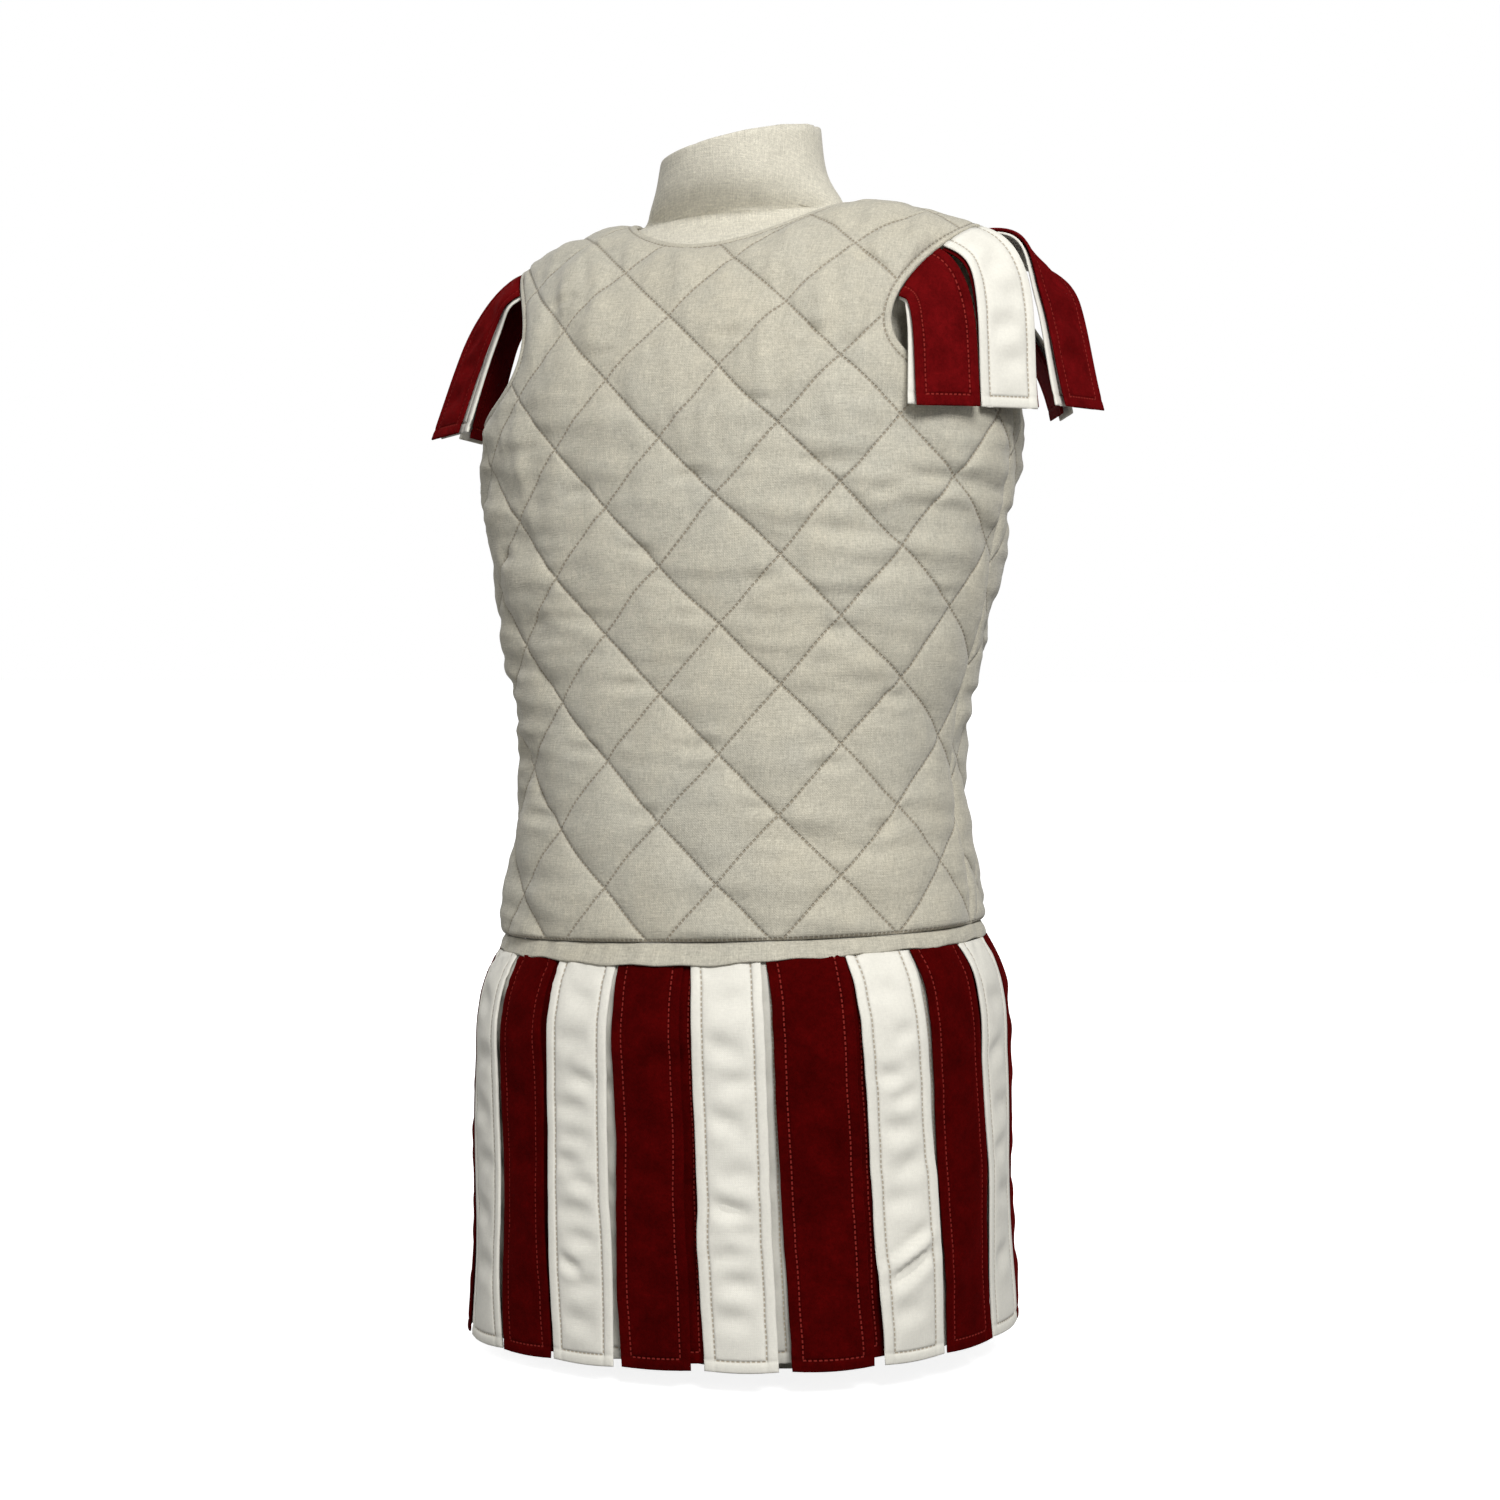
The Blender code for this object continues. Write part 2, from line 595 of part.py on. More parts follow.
def armhole_edge():
    """The armhole's edge on the wearer's left, from its front foot over the tip to its back foot.

    Gives each point, the cloth's normal there and the arc length from the shoulder tip.
    """
    points, normals = [], []
    for panel in ("front", "back"):
        places = [at_height(panel, x, z) for x, z in armhole_curve(panel, ARMHOLE_STEPS)]
        places[-1] = (places[-1][0], places[-1][1] - GAP / 2)
        side = 1.0 if panel == "front" else -1.0
        found = [cloth_point(panel, side * s, h) for s, h in places]
        facing = [cloth_normal(panel, side * s, h) for s, h in places]
        order = slice(None) if panel == "front" else slice(None, None, -1)
        points += found[order]
        normals += facing[order]
    points = np.array(points)
    arc = np.concatenate(([0.0], np.cumsum(np.linalg.norm(np.diff(points, axis=0), axis=1))))
    return points, np.array(normals), arc - arc[len(arc) // 2]


ARMHOLE = armhole_edge()


def on_armhole(arc_length):
    """Point, normal and running direction of the armhole's edge."""
    points, normals, arc = ARMHOLE
    point = np.array([np.interp(arc_length, arc, points[:, k]) for k in range(3)])
    normal = np.array([np.interp(arc_length, arc, normals[:, k]) for k in range(3)])
    ahead = np.array([np.interp(arc_length + 0.004, arc, points[:, k]) for k in range(3)])
    behind = np.array([np.interp(arc_length - 0.004, arc, points[:, k]) for k in range(3)])
    tangent = ahead - behind
    return point, normal / np.linalg.norm(normal), tangent / np.linalg.norm(tangent)


def unit(vector):
    return vector / np.linalg.norm(vector)


def wing_mesh(row, side, lining):
    """One shoulder strip: sewn along the armhole, over the arm's place and down to its hem."""
    place = dict(zip(WING_COLUMNS, row))
    middle = place["round"]
    edge, normal, along = on_armhole(middle)
    outward = unit(np.cross(along, normal))
    hem = np.array((place["hem_x"], place["hem_y"], SEAM_HEIGHT + place["hem_rise"]))
    facing = math.radians(place["facing"])
    away = np.array((math.cos(facing), -math.sin(facing), 0.0))
    level = np.array((-away[1], away[0], 0.0))
    start = edge - normal * (WALL / 2 - WING_WALL * 0.6) + outward * WING_SEAT
    fall = start[2] - hem[2]
    above_hem = hem + (np.array((0.0, 0.0, 1.0)) - away * place["flare"]) * fall * WING_FALL_SHARE
    over_arm = start + outward * fall * place["reach"] + away * WING_START_OUT
    over_arm[2] += place["rise"]
    handles = (start, over_arm, above_hem, hem)
    columns, rows = WING_GRID
    grids = ([], [])
    for i in range(rows + 1):
        t = (i / rows) ** WING_ROW_SPREAD * (WING_LINING_LENGTH if lining else 1.0)
        centre = bezier(handles, t)
        down = unit(bezier_slope(handles, t))
        turn = eased(t / WING_TURNED_BY)
        across = unit(along * (1 - turn) + level * turn)
        outside = unit(np.cross(down, across))
        hold = max(0.0, 1 - t / WING_HELD_TO) ** 2
        if lining:
            centre = centre - outside * (WING_WALL + WING_LINING_GAP + WING_LINING_DEPTH * t)
            centre = centre + across * WING_LINING_SHIFT[place["cloth"]] * t * t
        lines = ([], [])
        for j in range(columns + 1):
            v = (place["seat"] + (WING_WIDTH - place["seat"]) * turn) * (j / columns - 0.5)
            bend = on_armhole(middle + v)[0] - edge - along * v
            point = centre + across * v + bend * hold
            lines[0].append(point + outside * WING_WALL / 2)
            lines[1].append(point - outside * WING_WALL / 2)
        grids[0].append(lines[0])
        grids[1].append(lines[1])
    if side == "right":
        grids = tuple([[point * np.array((-1, 1, 1)) for point in line] for line in grid] for grid in grids)
    return ribbon_mesh(*grids)


def form_ridge(x):
    """Height of the dress form's shoulder, which drops away short of the armhole."""
    height = ridge(x)[0] - WALL - FORM_SEAT
    past = max(0.0, abs(x) - (FORM_SHOULDER_END - 0.030))
    return height - 0.030 * (past / 0.030) ** 3


def form_rings():
    """The dress form's sections from its flat foot to the neck's slanting top."""
    rings = []
    angles = [2 * math.pi * i / FORM_POINTS for i in range(FORM_POINTS)]

    def oval(half_width, front, back, set_back, z):
        loop = []
        for angle in angles:
            c = math.cos(angle)
            depth = front if c > 0 else back
            x = half_width * math.copysign(abs(math.sin(angle)) ** (2 / SECTION_POWER), math.sin(angle))
            y = set_back - depth * math.copysign(abs(c) ** (2 / SECTION_POWER), c)
            loop.append((x, y, z))
        return loop

    hip_width, hip_front, hip_back = FORM_HIP
    for z, share in FORM_FOOT:
        rings.append(oval(hip_width * share, hip_front * share, hip_back * share, 0.0, z))
    rings.append(oval(hip_width, hip_front, hip_back, 0.0, SKIRT_TOP - FORM_HIP_DROP))
    inset = WALL + FORM_EASE
    for row in FIGURE:
        rise, half_width, front, back, set_back = row
        rings.append(oval(half_width - inset, front - inset, back - inset, set_back, SEAM_HEIGHT + rise))
    return rings


def neck_size(z):
    return [smooth(NECK, NECK_COLUMNS, name, z - RIDGE_HEIGHT) for name in NECK_COLUMNS[1:]]


def form_upper_ring(z):
    """A section through the chest, shoulders or neck."""
    inset = WALL + FORM_EASE
    chest_width = float(CHEST_RING[0][QUARTER]) - inset
    chest_front = FIGURE[-1][2] - inset
    chest_back = FIGURE[-1][3] - inset
    neck_width, neck_depth, neck_back = neck_size(z)
    xs = np.linspace(0.0, chest_width, RIDGE_SAMPLES)
    tops = np.array([form_ridge(x) for x in xs])
    end = chest_width + (FORM_SHOULDER_END - chest_width) * eased((z - CHEST_HEIGHT) / FORM_ARM_RISE)
    under = xs[(tops > z) & (xs < end)]
    shoulder_width = float(under[-1]) if len(under) else 0.0
    half_width = max(shoulder_width, neck_width)
    loop = []
    for i in range(FORM_POINTS):
        angle = 2 * math.pi * i / FORM_POINTS
        x = half_width * math.sin(angle)
        depths = []
        for full in (chest_front, chest_back):
            shoulder = 0.0
            if abs(x) < shoulder_width:
                top = form_ridge(x)
                sine = min(1.0, (z - CHEST_HEIGHT) / (top - CHEST_HEIGHT))
                share = max(0.0, 1 - (abs(x) / max(end, 1e-6)) ** SECTION_POWER) ** (1 / SECTION_POWER)
                shoulder = full * share * math.sqrt(1 - sine * sine)
            neck = neck_depth * math.sqrt(max(0.0, 1 - (x / neck_width) ** 2)) if abs(x) < neck_width else 0.0
            depths.append((shoulder**NECK_FILLET + neck**NECK_FILLET) ** (1 / NECK_FILLET))
        front = math.cos(angle) > 0
        share = min(1.0, (z - CHEST_HEIGHT) / (RIDGE_HEIGHT - CHEST_HEIGHT))
        middle = CHEST_SET_BACK + (RIDGE_SET_BACK[0] - CHEST_SET_BACK) * share
        turn = eased((z - RIDGE_HEIGHT + NECK_TURN_DROP) / NECK_TURN_LENGTH)
        middle += (neck_back - middle) * turn
        y = middle - depths[0] if front else middle + depths[1]
        if abs(math.cos(angle)) < 1e-9:
            y = middle
        loop.append((x, y, z))
    return loop


def form_mesh():
    rings = form_rings()
    heights = [CHEST_HEIGHT + rise for rise in FORM_CHEST_RISES]
    shoulder_top = form_ridge(0.0)
    heights += [shoulder_top - HAIR, shoulder_top + HAIR]
    heights += [RIDGE_HEIGHT + rise for rise in FORM_NECK_RISES]
    rings += [form_upper_ring(z) for z in heights]
    neck_top = RIDGE_HEIGHT + NECK_RISE
    half_width, half_depth, set_back = neck_size(neck_top)
    across = (math.cos(NECK_SLOPE_AZIMUTH), math.sin(NECK_SLOPE_AZIMUTH))
    top = []
    for i in range(FORM_POINTS):
        angle = 2 * math.pi * i / FORM_POINTS
        x = half_width * math.sin(angle)
        y = set_back - half_depth * math.cos(angle)
        top.append((x, y, neck_top + NECK_SLOPE * (x * across[0] + (y - set_back) * across[1])))
    rings.append(top)
    mesh = bmesh.new()
    loops = [[mesh.verts.new(point) for point in ring] for ring in rings]
    for low, high in zip(loops, loops[1:]):
        for i in range(FORM_POINTS):
            j = (i + 1) % FORM_POINTS
            mesh.faces.new((low[i], low[j], high[j], high[i]))
    mesh.faces.new(loops[0][::-1])
    mesh.faces.new(loops[-1])
    return mesh


def material(name):
    found = bpy.data.materials.get(name)
    if found:
        return found
    colour, roughness = MATERIALS[name]
    made = bpy.data.materials.new(name)
    made.use_nodes = True
    shader = made.node_tree.nodes["Principled BSDF"]
    shader.inputs["Base Color"].default_value = (*colour, 1.0)
    shader.inputs["Roughness"].default_value = roughness
    shader.inputs["Metallic"].default_value = 0.0
    return made


def add_piece(name, mesh, material_name):
    """One named object from a closed bmesh, leaned with the figure and its faces turned outwards."""
    for vertex in mesh.verts:
        vertex.co.z += LEAN * vertex.co.x * min(1.0, vertex.co.z / LEAN_START)
    bmesh.ops.recalc_face_normals(mesh, faces=mesh.faces)
    data = bpy.data.meshes.new(name)
    mesh.to_mesh(data)
    mesh.free()
    data.shade_smooth()
    data.set_sharp_from_angle(angle=math.radians(40))
    data.materials.append(material(material_name))
    piece = bpy.data.objects.new(name, data)
    bpy.context.scene.collection.objects.link(piece)
    return piece


def main():
    for old in list(bpy.data.objects):
        bpy.data.objects.remove(old, do_unlink=True)
    add_piece("dress_form", form_mesh(), "form_linen")
    add_piece("front_panel", panel_mesh("front"), "linen")
    add_piece("back_panel", panel_mesh("back"), "linen")
    add_piece("waistband", band_mesh(), "linen")
    for index in range(STRIPS):
        cloth = "red" if index % 2 == 0 else "white"
        for row in ("outer", "inner"):
            add_piece(f"skirt_{row}_{index:02d}", skirt_strip_mesh(index, row), cloth)
    for side, rows in WINGS.items():
        for index, row in enumerate(rows):
            add_piece(f"wing_{side}_{index}", wing_mesh(row, side, False), row[0])
            if row[WING_COLUMNS.index("lined")]:
                cloth = "white" if row[0] == "red" else "red"
                add_piece(f"wing_{side}_under_{index}", wing_mesh(row, side, True), cloth)


main()
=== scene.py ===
"""The finished gambeson: quilted linen, its sewing, its loose strips and the dress form, on a studio stage.

Metres, +Z up, front towards -Y. Each piece starts as a flat cut, s along it and h up it from the waist seam,
or across and down for a strip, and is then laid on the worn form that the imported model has.
"""

import math

import bmesh
import bpy
import numpy as np
from bpy.props import FloatProperty, FloatVectorProperty, PointerProperty
from mathutils import Euler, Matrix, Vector


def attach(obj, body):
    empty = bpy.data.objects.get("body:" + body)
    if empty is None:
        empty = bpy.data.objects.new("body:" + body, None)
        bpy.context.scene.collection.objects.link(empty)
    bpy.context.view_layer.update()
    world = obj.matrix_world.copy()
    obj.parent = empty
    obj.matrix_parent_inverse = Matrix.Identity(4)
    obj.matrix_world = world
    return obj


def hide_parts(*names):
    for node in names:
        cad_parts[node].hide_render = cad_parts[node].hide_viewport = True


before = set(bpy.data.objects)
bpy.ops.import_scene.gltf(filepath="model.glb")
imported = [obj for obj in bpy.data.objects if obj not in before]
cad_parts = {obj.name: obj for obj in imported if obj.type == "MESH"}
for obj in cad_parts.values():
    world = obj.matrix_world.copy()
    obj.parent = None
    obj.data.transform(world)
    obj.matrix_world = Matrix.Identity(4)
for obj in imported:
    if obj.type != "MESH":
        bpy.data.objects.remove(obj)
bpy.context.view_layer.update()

bl_info = {
    "name": "Gambeson",
    "version": (1, 0, 0),
    "blender": (4, 5, 0),
    "location": "3D View > Sidebar > Gambeson",
    "description": "Quilted gambeson with a skirt and shoulder wings of loose strips, on a dress form",
    "category": "Object",
}

BODY = "root"
CUT = "cut"                 # the name of the UV map that holds flat cloth coordinates, in metres
UP = np.array((0.0, 0.0, 1.0))
TABLE_STEP = 0.004
CHEST_BLEND = 0.030         # the worn surface is eased this far over and under the fullest chest
CHEST_EASINGS = 12
RING_STEPS = 1440

# ---------------------------------------------------------------- sizes of the worn form

HEM_HEIGHT = 0.016
STRIP_DROP = 0.266
BAND_DEPTH = 0.0105
SKIRT_TOP = HEM_HEIGHT + STRIP_DROP
SEAM_HEIGHT = SKIRT_TOP + BAND_DEPTH
CHEST_RISE = 0.3235
CHEST_HEIGHT = SEAM_HEIGHT + CHEST_RISE
LEAN = 0.040                # the figure stands lower on the wearer's right: rise over run along X
LEAN_START = 0.012

SECTION_POWER = 2.2
FIGURE_COLUMNS = ("rise", "half_width", "front", "back", "set_back")
FIGURE = (                  # rise is measured from the waist seam
    (0.0000, 0.1690, 0.1320, 0.1330, 0.0000),
    (0.0450, 0.1625, 0.1270, 0.1290, -0.0010),
    (0.1000, 0.1545, 0.1220, 0.1260, -0.0010),
    (0.1400, 0.1560, 0.1215, 0.1270, 0.0010),
    (0.1900, 0.1680, 0.1235, 0.1290, 0.0050),
    (0.2600, 0.1815, 0.1275, 0.1340, 0.0090),
    (0.3235, 0.1930, 0.1300, 0.1380, 0.0130),
)
SKIRT_COLUMNS = ("drop", "half_width", "front", "back", "set_back")
SKIRT = (                   # drop is measured from the waistband's lower edge
    (0.000, 0.1730, 0.1350, 0.1350, 0.0),
    (0.015, 0.1815, 0.1420, 0.1420, 0.0),
    (0.042, 0.1880, 0.1500, 0.1500, 0.0),
    (0.080, 0.1890, 0.1515, 0.1515, 0.0),
    (0.150, 0.1905, 0.1530, 0.1530, 0.0),
    (0.268, 0.1925, 0.1560, 0.1560, 0.0),
)

RIDGE_HEIGHT = SEAM_HEIGHT + 0.4960
RIDGE_FLAT = 0.085
RIDGE_FALL = 0.0235
RIDGE_POWER = 1.6
TIP_X = 0.171
RIDGE_SET_BACK = (0.010, 0.014)
NECK_HALF_WIDTH = 0.078
NECK_DEPTH = {"front": -0.071, "back": 0.055}
ARMPIT_RISE = 0.034
ARMHOLE_PULL = {            # the armhole curve's two handles, as (x, rise over the waist seam)
    "front": ((0.110, 0.4050), (0.135, 0.3750)),
    "back": ((0.135, 0.4385), (0.150, 0.3750)),
}

DIAMOND_WIDTH = 0.0817
DIAMOND_HEIGHT = 0.0849
DIAMOND_START = (-0.0062, -0.0066)
DIAMOND_RISE = 0.0400
DIAMOND_DRIFT = -0.0160
WALL = 0.0030
GAP = 0.0003

STRIPS = 20
STRIP_WALL = 0.0018
STRIP_TOP_SHARE = 0.96
STRIP_WIDE_BY = 0.060
STRIP_COLUMNS = ("width", "start", "swing")
STRIP_SET = (               # the middle red strip first, then round to the wearer's left
    (0.0495, -0.0095, 0.0120),
    (0.0495, -0.0075, 0.0125),
    (0.0540, -0.0045, 0.0135),
    (0.0480, -0.0045, 0.0155),
    (0.0500, -0.0060, 0.0124),
    (0.0500, -0.0070, 0.0110),
    (0.0500, -0.0080, 0.0084),
    (0.0500, -0.0088, 0.0078),
    (0.0500, -0.0094, 0.0064),
    (0.0500, -0.0100, 0.0060),
    (0.0500, -0.0100, 0.0080),
    (0.0500, -0.0100, 0.0060),
    (0.0500, -0.0100, 0.0040),
    (0.0500, -0.0100, 0.0060),
    (0.0500, -0.0100, 0.0090),
    (0.0500, -0.0100, 0.0130),
    (0.0500, -0.0100, 0.0180),
    (0.0500, -0.0100, 0.0230),
    (0.0460, -0.0095, 0.0190),
    (0.0500, -0.0095, 0.0135),
)
OUTER_FACE = -0.0008
INNER_FACE = OUTER_FACE - STRIP_WALL - 0.0006
INNER_CLEAR = 0.0020
INNER_CLEAR_DROP = 0.030
INNER_SHIFT = 0.012
INNER_SHORTER = 0.004
WAVE = 0.0018
WAVE_LENGTH = 0.170
WAVE_TURN = 1.7
WAVE_SKEW = 2.4
BAND_FACE = -0.0007
BAND_WALL = 0.0019
BAND_CRIMP = 0.0013         # height of its gathered crimps
BAND_BULGE = 0.0004
BAND_ROUND = 0.0009
BAND_SEEDS = (211, 223)
BAND_CLOSE = 0.010          # the crimps fade over this distance to its closing seam at the middle of the front
BAND_WAVE = 0.0011          # how far its lower edge rises and falls
BAND_SAG = 0.0048           # how far its lower edge hangs over the strips at the middle of the front
BAND_SAG_REACH = 0.095
BAND_SAG_OUT = 0.0030       # and how far that edge stands out there

WING_WALL = 0.0018
WING_WIDTH = 0.0480
WING_SEAT = 0.0010
WING_SEAT_DEPTH = 0.6       # a strip begins this share of its wall over the middle of the padding
WING_COLUMNS = (
    "cloth", "lined", "round", "seat", "hem_x", "hem_y", "hem_rise", "facing", "reach", "flare", "rise",
)
# Round runs along the armhole from the shoulder tip, front first, and seat is the width sewn to it. Facing
# is the hem's turn to the front in degrees; reach, flare and rise shape the arch between seam and hem.
WINGS = {
    "left": (
        ("red", True, -0.080, 0.050, 0.1740, -0.0700, 0.3435, 42.0, 0.22, 0.14, 0.0),
        ("white", True, -0.026, 0.049, 0.2015, -0.0230, 0.3440, 34.0, 0.30, 0.12, 0.0),
        ("red", True, 0.027, 0.046, 0.2390, 0.0290, 0.3455, 17.0, 0.50, 0.32, 0.028),
        ("white", True, 0.080, 0.050, 0.2090, 0.0910, 0.3470, -25.0, 0.13, 0.20, 0.0),
    ),
    "right": (
        ("red", True, -0.037, 0.048, 0.2170, -0.0300, 0.3545, 51.0, 0.20, 0.38, 0.0),
        ("white", True, 0.016, 0.048, 0.2270, 0.0290, 0.3560, 8.0, 0.20, 0.34, 0.0),
        ("red", False, 0.067, 0.047, 0.2140, 0.0830, 0.3570, -20.0, 0.24, 0.26, 0.0),
        ("white", False, 0.116, 0.044, 0.1800, 0.1180, 0.3560, -48.0, 0.30, 0.16, 0.0),
    ),
}
WING_START_OUT = 0.010
WING_FALL_SHARE = 0.50      # the lower handle stands this share of the fall over the hem
WING_TURNED_BY = 0.55       # by this share of its run a strip has turned from the armhole to its hem's facing
WING_HELD_TO = 0.30         # and to this share it still follows the armhole's bend
WING_LINING_SHIFT = {"red": -0.0035, "white": 0.006}
WING_LINING_DEPTH = 0.0025
WING_LINING_GAP = 0.0013
WING_LINING_LENGTH = 0.985
WING_LINING_TOP = 0.0003    # no crease lifts a lining further than this towards its strip

# ---------------------------------------------------------------- creases, placed one by one

# Each is a soft trough: its middle, its turn from level in degrees, its length, its width and its depth,
# where a depth below nought is a ridge. On the panels s and h; on a strip across from its middle, and down.
PANEL_CREASES = {
    "front": (
        (0.034, 0.399, 2, 0.030, 0.0035, 0.0009),
        (0.090, 0.398, -4, 0.034, 0.0035, 0.0010),
        (0.012, 0.306, 3, 0.036, 0.0035, 0.0010),
        (0.060, 0.352, -3, 0.026, 0.0030, 0.0008),
        (0.062, 0.236, 4, 0.032, 0.0040, 0.0008),
        (-0.026, 0.258, -5, 0.028, 0.0036, 0.0008),
        (-0.074, 0.300, 6, 0.030, 0.0038, 0.0009),
        (-0.030, 0.170, 3, 0.030, 0.0034, 0.0009),
        (0.010, 0.215, -6, 0.024, 0.0030, 0.0007),
        (0.020, 0.128, 5, 0.036, 0.0040, 0.0009),
        (-0.070, 0.128, -3, 0.034, 0.0036, 0.0010),
        (0.110, 0.200, 6, 0.032, 0.0040, 0.0009),
        (0.106, 0.112, 2, 0.036, 0.0038, 0.0011),
        (0.060, 0.086, -6, 0.034, 0.0034, 0.0009),
        (-0.018, 0.084, 4, 0.030, 0.0036, 0.0008),
        (-0.112, 0.082, -2, 0.038, 0.0040, 0.0011),
        (0.146, 0.072, 7, 0.034, 0.0038, 0.0009),
        (-0.150, 0.126, 5, 0.036, 0.0042, 0.0011),
        (0.150, 0.156, -4, 0.034, 0.0040, 0.0011),
        (-0.110, 0.216, 8, 0.028, 0.0036, 0.0008),
        (0.140, 0.290, 10, 0.030, 0.0040, 0.0008),
        (-0.150, 0.262, -10, 0.030, 0.0042, 0.0008),
        (0.094, 0.310, -2, 0.026, 0.0034, 0.0008),
        (-0.060, 0.392, 4, 0.028, 0.0036, 0.0008),
        (-0.098, 0.438, 12, 0.026, 0.0036, 0.0009),
        (0.112, 0.452, -14, 0.030, 0.0040, 0.0009),
        (0.050, 0.452, 80, 0.022, 0.0032, 0.0006),
        (-0.020, 0.392, 86, 0.024, 0.0032, 0.0006),
        (0.066, 0.408, 84, 0.020, 0.0030, 0.0006),
        (-0.004, 0.345, 92, 0.020, 0.0030, 0.0005),
    ),
    "back": (
        (0.040, 0.420, 4, 0.030, 0.0036, 0.0009),
        (-0.052, 0.410, -5, 0.032, 0.0038, 0.0009),
        (0.002, 0.346, 3, 0.034, 0.0036, 0.0010),
        (0.086, 0.330, -6, 0.030, 0.0036, 0.0009),
        (-0.090, 0.322, 8, 0.030, 0.0036, 0.0009),
        (0.044, 0.262, 2, 0.032, 0.0038, 0.0008),
        (-0.040, 0.250, -4, 0.034, 0.0036, 0.0009),
        (0.118, 0.234, 6, 0.032, 0.0040, 0.0009),
        (-0.124, 0.228, -8, 0.030, 0.0038, 0.0009),
        (0.006, 0.172, 5, 0.036, 0.0038, 0.0010),
        (0.080, 0.160, -3, 0.036, 0.0040, 0.0011),
        (-0.078, 0.154, 4, 0.034, 0.0038, 0.0010),
        (0.150, 0.146, 7, 0.034, 0.0042, 0.0011),
        (-0.152, 0.140, -5, 0.034, 0.0042, 0.0011),
        (0.040, 0.096, -4, 0.034, 0.0036, 0.0009),
        (-0.040, 0.090, 3, 0.034, 0.0036, 0.0009),
        (0.118, 0.080, -6, 0.036, 0.0040, 0.0010),
        (-0.116, 0.074, 5, 0.036, 0.0040, 0.0010),
        (0.020, 0.468, 82, 0.022, 0.0032, 0.0006),
        (-0.070, 0.458, 96, 0.020, 0.0032, 0.0006),
    ),
}
